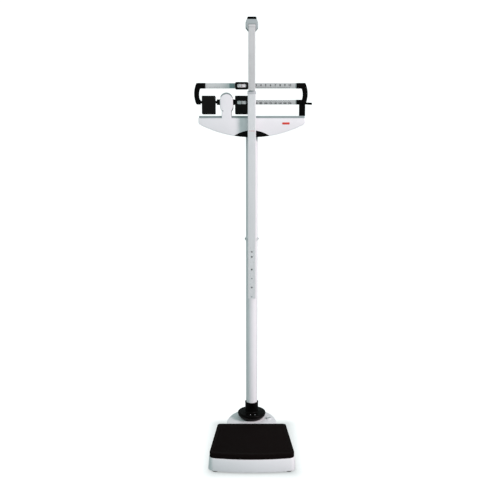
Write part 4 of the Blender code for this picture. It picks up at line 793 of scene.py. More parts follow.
@dataclass
class PlatformBase:
    """The pressed base shell with its bearing posts and wheel arches, and the lid under the column."""

    bench: Bench
    ground_gap: float = 7.0
    floor: float = 11.0
    top: float = 59.0
    flare: float = 4.0
    wall: float = 6.0
    deck_top: float = 70.0
    wheel: Place = (50.0, 72.0, 20.0)
    feet: tuple[Point, Point] = ((150.0, -370.0), (80.0, 20.0))
    posts: tuple[Point, Point] = ((126.0, -370.0), (106.0, -115.0))
    bearing_edge: float = 21.6
    post_half: Point = (8.0, 7.0)
    vee_radius: float = 5.0
    vee_rise: float = 4.4
    boss_radius: float = 9.0
    boss_top: float = 24.0
    stem_bore: float = 4.3
    arch_half: float = 9.0
    arch_front: float = 20.0
    arch_back: float = 37.0
    arch_top: float = 41.0
    cheek: float = 10.0
    axle_bore: float = 3.3
    draw_rod_hole: float = 12.0

    def build(self) -> None:
        """Builds the shell, its lid and the raised seat round the boot."""
        self.bench.add("base_shell", self.shell(), "stand", LACQUER, ["base_frame"])
        lid = Form().slab(FOOTPRINT.deck(self.flare), self.top + FIT, self.deck_top, Axis.Z, 0.5, 3.0, 5)
        lid.cut(rod(self.draw_rod_hole, self.top - 5, self.deck_top + 5, (0, 0, 0), Axis.Z, steps=48))
        self.bench.add("base_lid", lid, "stand", LACQUER, ["rear_deck"])
        top = self.deck_top
        seat = [(47.2, top - 0.2), (56.0, top - 0.2), (55.7, top + 0.5), (54.9, top + 0.9), (47.6, top + 0.9)]
        self.bench.add("boot_seat_ring", Form().turned(seat, steps=96, joined=True), "stand", LACQUER)
        self.bench.dress(STEEL, "wheel_axle")

    def shell(self) -> Form:
        """Returns the hollow shell as one solid."""
        inner = self.flare + self.wall
        section = [
            (1.4, self.ground_gap), (0.4, self.ground_gap + 0.4), (0.0, self.ground_gap + 1.4),
            (self.flare - 0.25, self.top - 3.0), (self.flare + 0.1, self.top - 1.3),
            (self.flare + 0.7, self.top - 0.4), (self.flare + 1.6, self.top), (inner - 1.2, self.top),
            (inner - 0.3, self.top - 0.4), (inner, self.top - 1.4), (inner, self.floor + 2.0),
            (inner + 0.6, self.floor + 0.6), (inner + 2.0, self.floor),
        ]
        shell = Form().loft([[Axis.Z.point(x, y, z) for x, y in FOOTPRINT.base(back)] for back, z in section])
        low = self.ground_gap + 1
        wide, deep = self.post_half
        vee_z = self.bearing_edge + self.vee_rise
        for x, y in both_sides(self.posts):
            loop = panel((x - wide, y - deep), (x + wide, y + deep), 1.2)
            post = Form().slab(loop, low, self.bearing_edge + 3, Axis.Z)
            post.cut(rod(self.vee_radius, x - 10, x + 10, (0, y, vee_z), Axis.X, steps=DIAMOND))
            shell.weld(post)
        for x, y in both_sides(self.feet):
            shell.weld(rod(self.boss_radius, low, self.boss_top, (x, y, 0), Axis.Z, 0.8))
            shell.cut(rod(self.stem_bore, 0, self.boss_top + 6, (x, y, 0), Axis.Z))
        across, along, up = self.wheel
        half = self.arch_half
        for side in (-1, 1):
            near = side * across
            arch_low = (near - half, along - self.arch_front, -1)
            shell.cut(Form().box(arch_low, (near + half, along + self.arch_back, self.arch_top)))
            left, right = sorted((near - side * half, near - side * (half + self.cheek)))
            shell.weld(Form().box((left, along - half, low), (right, along + half, up + half), 1.0))
        return shell.cut(rod(self.axle_bore, -across - 8, across + 8, (0, along, up), Axis.X))


def both_sides(places: Sequence[Point]) -> list[Point]:
    """Returns each place at the right with its mirror image at the left before it."""
    return [(side * x, y) for x, y in places for side in (-1, 1)]


def span_at(loop: Loop, level: float) -> Point:
    """Finds the leftmost and rightmost points of an outline at one level.

    Args:
        loop: the outline.
        level: the second coordinate to look at.

    Returns:
        The least and greatest first coordinate there.
    """
    found = []
    for (x0, y0), (x1, y1) in zip(loop, loop[1:] + loop[:1]):
        if (y0 - level) * (y1 - level) < 0:
            found.append(x0 + (x1 - x0) * (level - y0) / (y1 - y0))
    return (min(found), max(found))


@dataclass
class Tread:
    """The rubber mat over the load plate."""

    bench: Bench
    setback: float = 6.0
    skirt: float = 3.0
    bottom: float = 60.6
    top: float = 82.0
    ceiling: float = 78.0
    edge: float = 3.4
    rim: float = 9.0
    sink: float = 0.6
    rib_pitch: float = 5.0
    rib_width: float = 2.9

    def build(self) -> None:
        """Builds the mat with its ribbed field and dresses the plate under it."""
        self.bench.add("tread_mat", self.mat(), "platform", MAT_RUBBER, ["platform_mat"])
        self.bench.add("tread_ribs", self.ribs(), "platform", MAT_RUBBER)
        self.bench.dress(SHEET_STEEL, "load_plate")

    def mat(self) -> Form:
        """Returns the mat, hollow underneath, with a raised rim round its field."""
        inner = self.setback + self.skirt
        section = [(inner, self.ceiling), (inner, self.bottom), (self.setback + 0.7, self.bottom),
                   (self.setback + 0.15, self.bottom + 0.25), (self.setback, self.bottom + 0.8)]
        for i in range(7):
            angle = math.radians(15 * i)
            section.append((self.setback + self.edge * (1 - math.cos(angle)),
                            self.top - self.edge * (1 - math.sin(angle))))
        field_edge = self.setback + self.edge + self.rim
        section += [(field_edge - 0.5, self.top), (field_edge, self.top - 0.2),
                    (field_edge + 0.4, self.top - self.sink)]
        return Form().loft([[Axis.Z.point(x, y, z) for x, y in FOOTPRINT.platform(back)]
                            for back, z in section])

    def ribs(self) -> Form:
        """Returns the ribs that cross the field from side to side."""
        form = Form()
        field_loop = FOOTPRINT.platform(self.setback + self.edge + self.rim + 2.0)
        first = min(y for _, y in field_loop) + 3.0
        last = max(y for _, y in field_loop) - 2.0
        count = int((last - first) / self.rib_pitch)
        low = self.top - self.sink - 0.2
        half = self.rib_width / 2
        section = [(-half, low), (half, low), (half - 0.15, self.top - 0.3), (half - 0.75, self.top - 0.02),
                   (-half + 0.75, self.top - 0.02), (-half + 0.15, self.top - 0.3)]
        for i in range(count + 1):
            y = first + i * self.rib_pitch
            left, right = span_at(field_loop, y)
            ends = [(left, 0.6), (left + 1.0, 1.0), (right - 1.0, 1.0), (right, 0.6)]
            form.loft([[Vector((x, y + across * size, low + (z - low) * size)) for across, z in section]
                       for x, size in ends])
        return form


@dataclass
class LevellingFeet:
    """Four rubber pads on threaded stems."""

    bench: Bench
    radius: float = 15.0
    pad: float = 6.0
    stem: float = 4.0
    stem_top: float = 28.0

    def build(self, base: PlatformBase) -> None:
        """Builds a foot on each foot's body.

        Args:
            base: the base whose bosses the stems stand in.
        """
        names = [f"{end}_{side}" for end in ("front", "rear") for side in ("left", "right")]
        r, h = self.radius, self.pad
        section = [(0, 0.5), (r - 5.0, 0.5), (r - 4.5, 0), (r - 1.2, 0), (r - 0.3, 0.4), (r, 1.2),
                   (r, 2.2), (r - 0.6, 2.6), (r - 0.6, 3.2), (r, 3.6), (r, h - 1.6), (r - 0.5, h - 0.6),
                   (r - 1.6, h), (7.2, h), (0, h)]
        for name, (x, y) in zip(names, both_sides(base.feet)):
            pad = Form().turned(section, (x, y, 0), steps=48)
            self.bench.add(f"foot_pad_{name}", pad, f"foot_{name}", PAD_RUBBER, [f"foot_{name}"])
            stem = threaded(self.stem, h - 0.2, self.stem_top, 1.25, (x, y, 0), Axis.Z)
            self.bench.add(f"foot_stem_{name}", stem, f"foot_{name}", STEEL)


def threaded(radius: float, start: float, end: float, pitch: float, centre: Place, axis: Axis) -> Form:
    """Makes a threaded bar, whose thread is a row of ridges.

    Args:
        radius: radius over the ridges.
        start: where it starts along the axis.
        end: where it ends.
        pitch: distance between ridges.
        centre: a point on the axis.
        axis: the axis it turns about.

    Returns:
        The bar.
    """
    root = radius - 0.45 * pitch
    section = [(0, start), (root - 0.2, start)]
    for i in range(int((end - start) / pitch - 0.3)):
        at = start + (i + 0.3) * pitch
        section += [(root, at), (radius, at + 0.42 * pitch), (radius, at + 0.58 * pitch)]
    return Form().turned(section + [(root - 0.2, end), (0, end)], centre, axis, SMALL)


@dataclass
class TransportWheels:
    """Two rubber-tyred wheels behind the base."""

    bench: Bench
    radius: float = 17.0
    half_width: float = 7.0
    bore: float = 3.6
    hub: float = 11.5
    lightening: int = 6
    lightening_circle: float = 9.0

    def build(self, base: PlatformBase) -> None:
        """Builds a tyre and a hub on each wheel's body.

        Args:
            base: the base whose cheeks hold the axle.
        """
        r, w = self.radius, self.half_width
        tyre = [(self.hub, -w + 0.8), (self.hub + 0.6, -w + 0.2), (r - 2.4, -w), (r - 0.8, -w + 0.7),
                (r, -w + 2.2), (r, -1.2), (r - 0.8, -0.5), (r - 0.8, 0.5), (r, 1.2), (r, w - 2.2),
                (r - 0.8, w - 0.7), (r - 2.4, w), (self.hub + 0.6, w - 0.2), (self.hub, w - 0.8)]
        hub = [(self.bore, -w + 0.1), (self.bore + 2.6, -w + 0.1), (self.bore + 3.0, -w + 2.6),
               (self.hub + 0.2, -w + 2.0), (self.hub + 0.2, w - 2.0), (self.bore + 3.0, w - 2.6),
               (self.bore + 2.6, w - 0.1), (self.bore, w - 0.1)]
        across, along, up = base.wheel
        for name, side in (("left", -1), ("right", 1)):
            centre = (side * across, along, up)
            body = f"wheel_{name}"
            ring = Form().turned(tyre, centre, Axis.X, 56, joined=True)
            self.bench.add(f"tyre_{name}", ring, body, PAD_RUBBER, [body])
            disc = Form().turned(hub, centre, Axis.X, 56, joined=True)
            for angle in range(0, 360, 360 // self.lightening):
                turn, out = math.radians(angle), self.lightening_circle
                place = (centre[0], along + out * math.cos(turn), up + out * math.sin(turn))
                disc.cut(rod(1.5, -w - 1, w + 1, place, Axis.X))
            self.bench.add(f"wheel_hub_{name}", disc, body, HEAD_GREY)


@dataclass
class BubbleLevel:
    """The round level let into the lid."""

    bench: Bench
    place: Place = (78.0, -10.0, 70.3)
    radius: float = 10.5
    height: float = 5.0
    seat: float = 8.0

    def build(self) -> None:
        """Builds the cup, the liquid with its bubble and mark, and the domed glass."""
        r, h, s = self.radius, self.height, self.seat
        cup = [(0, 0), (r - 0.3, 0), (r, 0.3), (r, h - 1.0), (r - 0.3, h - 0.3), (r - 1.0, h),
               (s + 0.4, h), (s, h - 0.4), (s, 1.0), (0, 1.0)]
        self.bench.add("level_cup", Form().turned(cup, self.place, steps=48), "stand", EXTRUSION,
                       ["spirit_level_cup"])
        liquid = [(0, 1.1), (s - 0.3, 1.1), (s - 0.3, 3.3), (0, 3.3)]
        self.bench.add("level_liquid", Form().turned(liquid, self.place, steps=40), "stand", LIQUID)
        mark = [(3.3, 3.25), (3.8, 3.25), (3.8, 3.42), (3.3, 3.42)]
        self.bench.add("level_mark", Form().turned(mark, self.place, steps=40, joined=True), "stand", INK)
        bubble = [(0, 3.2)] + [(2.5 * math.cos(a), 3.35 + 0.45 * math.sin(a))
                               for a in (0.0, 0.5, 1.0)] + [(0, 3.8)]
        centre = (self.place[0] - 0.4, self.place[1] + 0.3, self.place[2])
        self.bench.add("level_bubble", Form().turned(bubble, centre, steps=32), "stand", BUBBLE)
        dome = [(0, 3.95), (s - 0.2, 3.95), (s - 0.2, h - 0.5), (s - 1.2, h - 0.1), (4.5, h + 0.4),
                (0, h + 0.6)]
        self.bench.add("level_glass", Form().turned(dome, self.place, steps=40), "stand", CLEAR,
                       ["spirit_level_glass"])


# ---------------------------------------------------------------- column
@dataclass
class Column:
    """The tube, the boot round its foot, and the ironwork that they hide."""

    bench: Bench
    radius: float = TUBE_RADIUS
    wall: float = 1.8
    bottom: float = 76.6
    top: float = 1373.5
    screws: Point = (-5.0, 15.0)
    screw_y: float = -46.0
    screw_seat: float = 103.4

    def build(self) -> None:
        """Builds the tube and boot and dresses the parts inside."""
        r, inner = self.radius, self.radius - self.wall
        tube = [(inner, self.bottom), (r, self.bottom), (r, self.top), (inner, self.top)]
        self.bench.add("column", Form().turned(tube, steps=96, joined=True), "stand", LACQUER,
                       ["column_tube"])
        self.bench.add("boot", self.boot(), "stand", BLACK, ["column_boot"])
        for name, x in zip(("left", "right"), self.screws):
            screw = screw_head((x, self.screw_y, self.screw_seat), Axis.Z, 2.6, 1.5, 1)
            self.bench.add(f"boot_screw_{name}", screw, "stand", STEEL)
        self.bench.dress(CASTING, "column_socket", "long_lever", "short_lever")
        self.bench.dress(STEEL, "socket_bolt_rear", "socket_bolt_left", "socket_bolt_right", "draw_rod")
        self.bench.dress(SHEET_STEEL, "lever_shackle")

    def boot(self) -> Form:
        """Returns the bowl-shaped boot with the collar that grips the tube."""
        bore = self.radius + FIT
        section = [(bore, 150.6), (bore + 0.4, 151.0), (29.4, 151.0), (30.2, 150.6), (30.5, 149.6),
                   (30.5, 147.8), (30.1, 146.9), (29.7, 146.2), (29.7, 109.5), (30.1, 107.2),
                   (31.3, 105.4), (33.7, 104.3)]
        section += [(56.0, 103.3)] + arc((57.2, 96.6), 6.8, 80, -8, 9) + [(63.6, 92.6), (62.4, 89.2),
                                                                          (60.4, 85.6)]
        section += [(57.4, 81.8), (53.6, 78.2), (49.4, 74.8), (46.0, 72.2), (44.2, 70.8), (43.2, 70.3)]
        section += [(41, 70.3), (41, 82.3), (bore, 88.3)]
        return Form().turned(section, steps=96, joined=True)


# ---------------------------------------------------------------- head housing
@dataclass
class HeadHousing:
    """The boat-shaped head: two shells, their cover and hood, the saddle below and the ironwork inside."""

    bench: Bench
    half: float = 226.5
    depth: float = 43.0
    top: float = 1430.0
    bottom: float = 1350.0
    side: float = 24.0
    corner: float = 10.0
    wall: float = 2.5
    ease: float = 2.6
    crest_z: float = 1509.0
    crest_radius: float = 27.5
    crest_sides: float = 30.0
    hood_cap: float = 6.5
    neck_half: float = 20.0
    hood_angles: Point = (25.0, 155.0)
    saddle_half: float = 74.0
    saddle_rise: float = 22.0
    saddle_edge: float = 6.5
    boss_half: Point = (35.0, 30.0)
    boss_top: float = 1394.2
    tube_seat: float = 1373.8
    crest_screw: Point = (-122.5, 1460.5)
    rear_screws: tuple[Point, ...] = ((-190.0, 1402.0), (190.0, 1402.0), (-60.0, 1378.0), (60.0, 1378.0))
    badge: tuple[Point, Point] = ((129.0, 1403.6), (161.0, 1412.4))

    def build(self) -> None:
        """Builds every visible piece of the head and dresses what is inside."""
        for name, side in (("front", -1), ("rear", 1)):
            shell = self.shell(side)
            self.bench.add(f"housing_{name}", shell, "stand", LACQUER, [f"housing_{name}_shell"], 24)
        # the cover and the hood take the painted-shade grey-teal of shaded white tops
        self.bench.add("housing_cover", self.cover(), "stand", PAINTED_SHADE_TRIM, ["housing_top_cover"])
        self.bench.add("crest_hood", self.hood(), "stand", PAINTED_SHADE_TRIM, ["fulcrum_hood"])
        self.bench.add("saddle", self.saddle(), "stand", BLACK, ["head_saddle"])
        self.bench.dress(CASTING, "head_frame")
        self.bench.dress(STEEL, "fulcrum_stand", "transfer_lever", "load_stirrup")
        x, z = self.crest_screw
        crest_screw = screw_head((x, -self.depth + 0.1, z), Axis.Y, 2.9, 1.2, -1)
        self.bench.add("crest_screw", crest_screw, "stand", HEAD_GREY)
        for x, z in self.rear_screws:
            name = f"rear_screw_{'left' if x < 0 else 'right'}_{'outer' if abs(x) > 100 else 'inner'}"
            self.bench.add(name, screw_head((x, self.depth - 0.1, z), Axis.Y, 3.0, 1.6, 1), "stand", STEEL)
        badge = Form().slab(panel(*self.badge, 3.2), -self.depth - 0.5, -self.depth + 0.1, Axis.Y, 0.2)
        self.bench.add("red_badge_bar", badge, "stand", RED)

    def floor(self, x: float, drop: float = 0.0) -> float:
        """Returns the height of the curved underside, lowered by a drop."""
        rise = self.top - self.side - self.bottom
        radius = (self.half**2 + rise**2) / (2 * rise)
        return self.bottom - drop + radius - math.sqrt(radius**2 - x**2)

    def outline(self, top: float, crest: Sequence[Point] = ()) -> Loop:
        """Returns the boat shape, with anything that stands on its top edge."""
        steps = 44
        corners = [(-self.half, self.floor(self.half), self.corner)]
        for i in range(2, steps - 1):
            x = -self.half + 2 * self.half * i / steps
            corners.append((x, self.floor(x), 0))
        corners += [(self.half, self.floor(self.half), self.corner), (self.half, top, 0)]
        corners += [(x, z, 0) for x, z in crest] + [(-self.half, top, 0)]
        return rounded(corners, 8)

    def crest(self) -> Loop:
        """Returns the neck and tall round head over the fulcrum, up to the hood's crescent."""
        spread = math.degrees(math.acos(self.neck_half / self.crest_radius))
        top, low = (FULCRUM_X, self.crest_z - self.hood_cap), (FULCRUM_X, self.crest_z - self.crest_sides)
        head = arc(low, self.crest_radius, -spread, 0, 10) + arc(top, self.crest_radius, 0, 180, 40)
        head += arc(low, self.crest_radius, 180, 180 + spread, 10)
        foot = self.neck_half + 1
        return [(FULCRUM_X + foot, self.top)] + head + [(FULCRUM_X - foot, self.top)]

    def saddle_outline(self, clearance: float, overrun: float = 0.0) -> Loop:
        """Returns the arch of the saddle, grown by a clearance, with its underside lowered by an overrun."""
        radius = (self.saddle_half**2 + self.saddle_rise**2) / (2 * self.saddle_rise)
        spread = math.degrees(math.asin(self.saddle_half / radius))
        centre = (0, self.bottom + self.saddle_edge + self.saddle_rise - radius)
        top = arc(centre, radius + clearance, 90 - spread, 90 + spread, 28)
        half = top[0][0]
        places = [-half + 2 * half * i / 16 for i in range(17)]
        under = [(x, self.floor(x, overrun)) for x in places]
        return under + (top if overrun else top[1:-1])

    def shell(self, side: int) -> Form:
        """Returns the front (-1) or rear (1) shell."""
        inner, outer = sorted((side * FIT, side * self.depth))
        eases = (self.ease, 0.3) if side < 0 else (0.3, self.ease)
        shell = Form().slab(self.outline(self.top, self.crest()), inner, outer, Axis.Y, *eases, 5)
        pocket = inset(self.outline(self.crest_z + 2 * self.crest_radius), self.wall)
        low, high = sorted((-side * 2.0, side * (self.depth - self.wall)))
        shell.cut(Form().slab(pocket, low, high, Axis.Y))
        low, high = sorted((-side * 2.0, side * (self.depth + 5)))
        return shell.cut(Form().slab(self.saddle_outline(0.5, 20), low, high, Axis.Y))

    def cover(self) -> Form:
        """Returns the bevelled cover with the openings for the levers and the crest's neck."""
        low, high, edge, half = self.top + FIT, self.top + 10, self.depth - 1.5, self.half - 2
        section = [(-edge, low, 0), (edge, low, 0), (edge, low + 1.0, 0.5), (edge - 9, high, 2.5),
                   (9 - edge, high, 2.5), (-edge, low + 1.0, 0.5)]
        cover = Form().slab(rounded(section, 5), -half, half, Axis.X, 0.4, 0.4, 2)
        cover.cut(Form().box((-half + 4, 12 - edge, low - 10), (half - 4, edge - 12, high - 3)))
        cover.cut(Form().box((FULCRUM_X - 28, -28.5, low - 10), (FULCRUM_X + 22, 28.5, high + 10)))
        notch = self.neck_half + 1 + FIT
        for side in (-1, 1):
            ys = sorted((side * (self.depth - self.wall - FIT), side * (self.depth + 10)))
            cover.cut(Form().box((FULCRUM_X - notch, ys[0], low - 10), (FULCRUM_X + notch, ys[1], high + 10)))
        return cover

    def hood(self) -> Form:
        """Returns the crescent over the crest, almost as deep as both shells together, in painted-shade grey.
        """
        start, end = self.hood_angles
        face, ease, steps = self.depth - 0.4, 0.8, 32
        rings = []
        for x, high in arc((FULCRUM_X, self.crest_z), self.crest_radius, start, end, steps):
            low = high - self.hood_cap + FIT
            section = [(-face, low + ease), (ease - face, low), (face - ease, low), (face, low + ease),
                       (face, high - ease), (face - ease, high), (ease - face, high), (-face, high - ease)]
            rings.append([Vector((x, y, z)) for y, z in section])
        return Form().loft(rings)

    def saddle(self) -> Form:
        """Returns the arched saddle with its boss and the socket for the tube."""
        face = self.depth - 0.5
        saddle = Form().slab(self.saddle_outline(0), -face, face, Axis.Y, 0.6, 0.6)
        wide, deep = self.boss_half
        saddle.weld(Form().box((-wide, -deep, self.bottom + 12), (wide, deep, self.boss_top), 2.0))
        saddle.cut(rod(TUBE_BORE, self.bottom - 30, self.tube_seat, (0, 0, 0), Axis.Z, steps=96))
        return saddle.cut(rod(8, self.bottom, self.bottom + 50, (0, 0, 0), Axis.Z, steps=32))


@dataclass
class BeamGuard:
    """The ribbed fork that the beam's right end plays in, and the lever that locks it."""

    bench: Bench
    left: float = 203.5
    right: float = 228.5
    half_depth: float = 13.5
    foot: float = 1440.3
    block: float = 1478.5
    top: float = 1507.0
    gap: float = 9.5
    pivot: Point = (222.5, 1492.5)
    tip: float = 257.0
    pin: float = 2.5
    lever_hub: float = 6.5
    grooves: int = 5

    def build(self) -> None:
        """Builds the post and the lever."""
        post = Form().slab(self.ribbed_outline(), self.foot, self.top, Axis.Z, 0.4, 0.5, 2)
        post.cut(Form().box((self.left - 5, -self.gap, self.block), (self.right + 5, self.gap, self.top + 5)))
        x, z = self.pivot
        post.cut(rod(self.pin + FIT, -self.half_depth - 5, -self.gap + 2, (x, 0, z), Axis.Y))
        self.bench.add("guard_fork", post, "stand", BLACK, ["guard_post"])
        self.bench.add("beam_lock", self.lever(), "lock_lever", BLACK, ["lock_lever"])

    def ribbed_outline(self) -> Loop:
        """Returns the post's plan, with shallow upright grooves in its front and back."""
        pitch = (self.right - self.left) / self.grooves
        wide, deep = 0.9, 0.7
        face = self.half_depth
        side: Loop = [(self.left, -face)]
        for i in range(1, self.grooves):
            x = self.left + i * pitch
            side += [(x - wide, -face), (x - wide + 0.3, -face + deep), (x + wide - 0.3, -face + deep),
                     (x + wide, -face)]
        side.append((self.right, -face))
        middle = (self.left + self.right) / 2
        corners = [(x, y, 1.2 if x in (self.left, self.right) else 0.0) for x, y in side]
        return rounded(corners + [(2 * middle - x, -y, radius) for x, y, radius in corners], 4)

    def lever(self) -> Form:
        """Returns the lock lever with its pin."""
        x, z = self.pivot
        face = -self.half_depth - FIT
        hub = [(x + px, z + pz) for px, pz in arc((0, 0), self.lever_hub, 40, 320, 20)]
        arm = [(self.tip - 9, z - 5.8), (self.tip - 3, z - 6.0), (self.tip - 0.9, z - 5.2),
               (self.tip, z - 3.6), (self.tip, z + 1.0), (self.tip - 0.6, z + 2.6),
               (self.tip - 2, z + 3.2), (self.tip - 9, z + 3.4)]
        lever = Form().slab(hub + arm, face - 4, face, Axis.Y, 0.9, 0.5)
        lever.weld(rod(self.pin, face - 1, -self.gap, (x, 0, z), Axis.Y))
        return lever.cut(rod(1.4, face - 6, face - 2.6, (x, 0, z), Axis.Y, steps=HEXAGON))


# ---------------------------------------------------------------- beam
@dataclass(frozen=True)
class Bar:
    """One of the two graduated beams."""

    name: str
    node: str
    z: float
    height: float
    half_depth: float
    left: float
    right: float
    left_step: float
    right_step: float
    trim: float = 2.0

    def pocket(self) -> Point:
        """Returns half the height and half the depth of a pocket for a stepped end."""
        return (self.height / 2 - self.trim + FIT, self.half_depth + FIT)

    def body(self) -> Form:
        """Returns the bar, stepped down where it enters the pieces that hold its ends."""
        rings = []
        steps = (self.left, self.left_step, self.left_step, self.right_step, self.right_step, self.right)
        for x, trim in zip(steps, (self.trim, self.trim, 0.0, 0.0, self.trim, self.trim)):
            half = self.height / 2 - trim
            outline = panel((-self.half_depth, self.z - half), (self.half_depth, self.z + half), 0.5, 3)
            rings.append([Axis.X.point(y, z, x) for y, z in outline])
        return Form().loft(rings)


@dataclass
class Beam:
    """The weighing beam: end brackets, both bars with scales, the hub with its knives and the tare screw."""

    bench: Bench
    left: float = -246.6
    right: float = 238.9
    leg: float = 48.0
    short_leg: float = 27.6
    width: float = 21.0
    half_depth: float = 8.0
    bulge: float = 12.5
    corner: float = 7.0
    zero: float = -43.2
    travel: float = 205.0
    notches: int = 21
    mark_depth: float = 0.14
    mark_lengths: Place = (6.4, 4.6, 3.2)
    mark_widths: Point = (0.7, 0.4)
    figure_gap: float = 5.4
    figure_sizes: Point = (12.5, 10.5)
    zero_plate: Point = (-95.0, -73.0)
    pale_plate: Point = (-196.0, -95.4)
    pale_marks: int = 9
    thread_radius: float = 6.0
    thread_pitch: float = 2.0
    thread_bore: float = 6.3
    thread_end: float = -146.0
    upper: Bar = Bar("fine_beam", "upper_beam", 1567.0, 22.0, 2.5, -210.6, 202.9, -198.3, 190.6)
    lower: Bar = Bar("main_beam", "lower_beam", FULCRUM_Z, 19.4, 3.0, -84.0, 202.9, -71.7, 190.6)

    def build(self) -> None:
        """Builds the brackets, the bars, their scales and the hub."""
        for name, outer, side in (("left", self.left, -1), ("right", self.right, 1)):
            self.bench.add(f"beam_bracket_{name}", self.bracket(outer, side), "beam", BLACK,
                           [f"{name}_bracket"])
            screw = screw_head((outer - side * (self.leg - 8), -self.half_depth + 0.1, self.upper.z),
                               Axis.Y, 2.2, 1.1, -1)
            self.bench.add(f"bracket_screw_{name}", screw, "beam", CASTING)
        self.bench.add(self.upper.name, self.upper.body(), "beam", BEAM_METAL, [self.upper.node])
        notched = self.lower.body()
        cutters = Form()
        pitch = self.travel / (self.notches - 1)
        top = self.lower.z + self.lower.height / 2
        for i in range(self.notches):
            cutters.take(rod(2.2, -10, 10, (self.zero + i * pitch, 0, top), Axis.Y, steps=DIAMOND).mesh)
        self.bench.add(self.lower.name, notched.cut(cutters), "beam", BEAM_METAL, [self.lower.node])
        self.scales()
        self.plates()
        self.bench.add("hub", self.hub(), "beam", CASTING, ["beam_hub"])
        start = self.left + self.short_leg - 7.5
        centre = (0, 0, FULCRUM_Z)
        screw = threaded(self.thread_radius, start, self.thread_end, self.thread_pitch, centre, Axis.X)
        self.bench.add("tare_thread", screw, "beam", CASTING, ["tare_screw"])
        self.bench.dress(STEEL, "fulcrum_knife", "load_knife")

    def plates(self) -> None:
        """Builds the enamelled plate before zero, and the pale plate with its row of marks."""
        front, z = -self.upper.half_depth, self.upper.z
        for name, (left, right), half, corner, rise, finish in (
            ("zero_plate", self.zero_plate, 9.6, 1.0, 0.35, ZERO_PLATE),
            ("pale_plate", self.pale_plate, 10.2, 0.8, 0.3, PALE_PLATE),
        ):
            loop = panel((left, z - half), (right, z + half), corner)
            plate = Form().slab(loop, front - rise, front + 0.1, Axis.Y, 0.12)
            self.bench.add(name, plate, "beam", finish)
        lines = Form()
        for i in range(self.pale_marks):
            left = self.pale_plate[0] + 16 + 5.0 * i
            lines.box((left, front - 0.42, z - 7.0), (left + 2, front - 0.2, z - 4.6))
        self.bench.add("pale_plate_marks", lines, "beam", PALE_INK)

    @staticmethod
    def bow(top: Point, foot: Point, middle_x: float) -> Loop:
        """Returns points down a smooth bow, through its furthest point half way."""
        points = []
        for i in range(21):
            t = i / 20
            straight = top[0] + (foot[0] - top[0]) * t
            reach = middle_x - (top[0] + foot[0]) / 2
            points.append((straight + reach * math.sin(math.pi * t) ** 0.8, top[1] + (foot[1] - top[1]) * t))
        return points

    def bracket(self, outer_x: float, side: int) -> Form:
        """Returns the C-shaped bracket at one end.

        Args:
            outer_x: its furthest point.
            side: 1 at the right, -1 at the left.

        Returns:
            The bracket with its pockets.
        """
        up, low = self.upper, self.lower
        upper_top, upper_low = up.z + up.height / 2 + 0.5, up.z - up.height / 2 - 0.5
        lower_top, lower_low = low.z + low.height / 2 + 0.2, low.z - low.height / 2 - 0.2
        reach = self.leg if side > 0 else self.short_leg
        shoulder, heel = self.bulge - 2, self.bulge - 3
        outer = self.bow((-shoulder, upper_top), (-heel, lower_low), 0)
        inner = self.bow((6 - shoulder - self.width, upper_low), (6 - heel - self.width, lower_top),
                         -self.width)
        corners = [(-self.leg, upper_low, 0.0), (inner[0][0], upper_low, 4.0),
                   *((x, z, 0.0) for x, z in inner[1:-1])]
        corners += [(inner[-1][0], lower_top, 4.0), (-reach, lower_top, 0.0), (-reach, lower_low, 0.0)]
        corners += [(outer[-1][0], lower_low, self.corner), *((x, z, 0.0) for x, z in reversed(outer[1:-1]))]
        corners += [(outer[0][0], upper_top, self.corner), (-self.leg, upper_top, 0.0)]
        loop = [(outer_x + side * x, z) for x, z in rounded(corners, 6)]
        bracket = Form().slab(loop if side > 0 else loop[::-1], -self.half_depth, self.half_depth, Axis.Y,
                              2.4, 2.4, 5)
        for bar in (up, low)[: 1 if side < 0 else 2]:
            mouth = outer_x - side * self.leg
            xs = sorted((mouth - side * 10, mouth + side * 12.3))
            half, deep = bar.pocket()
            bracket.cut(Form().box((xs[0], -deep, bar.z - half), (xs[1], deep, bar.z + half)))
        if side < 0:
            mouth = outer_x + self.short_leg
            bracket.cut(rod(self.thread_bore, mouth - 8, mouth + 20, (0, 0, low.z), Axis.X, steps=32))
        return bracket

    def hub(self) -> Form:
        """Returns the casting at the fulcrum, with seats for the knives, the beam and the tare screw."""
        loop = panel((-150, FULCRUM_Z - 11.5), (-72, FULCRUM_Z + 11.5), 3.0)
        hub = Form().slab(loop, -9, 9, Axis.Y, 1.4, 1.4, 4)
        half, deep = self.lower.pocket()
        hub.cut(Form().box((-84.3, -deep, FULCRUM_Z - half), (-60, deep, FULCRUM_Z + half)))
        hub.cut(rod(self.thread_bore, -160, self.thread_end + 0.5, (0, 0, FULCRUM_Z), Axis.X, steps=32))
        for x, z in ((FULCRUM_X, FULCRUM_Z + 4.2), (FULCRUM_X - 16, FULCRUM_Z - 4.2)):
            hub.cut(rod(4.65, -30, 30, (x, 0, z), Axis.Y, steps=DIAMOND))
        return hub

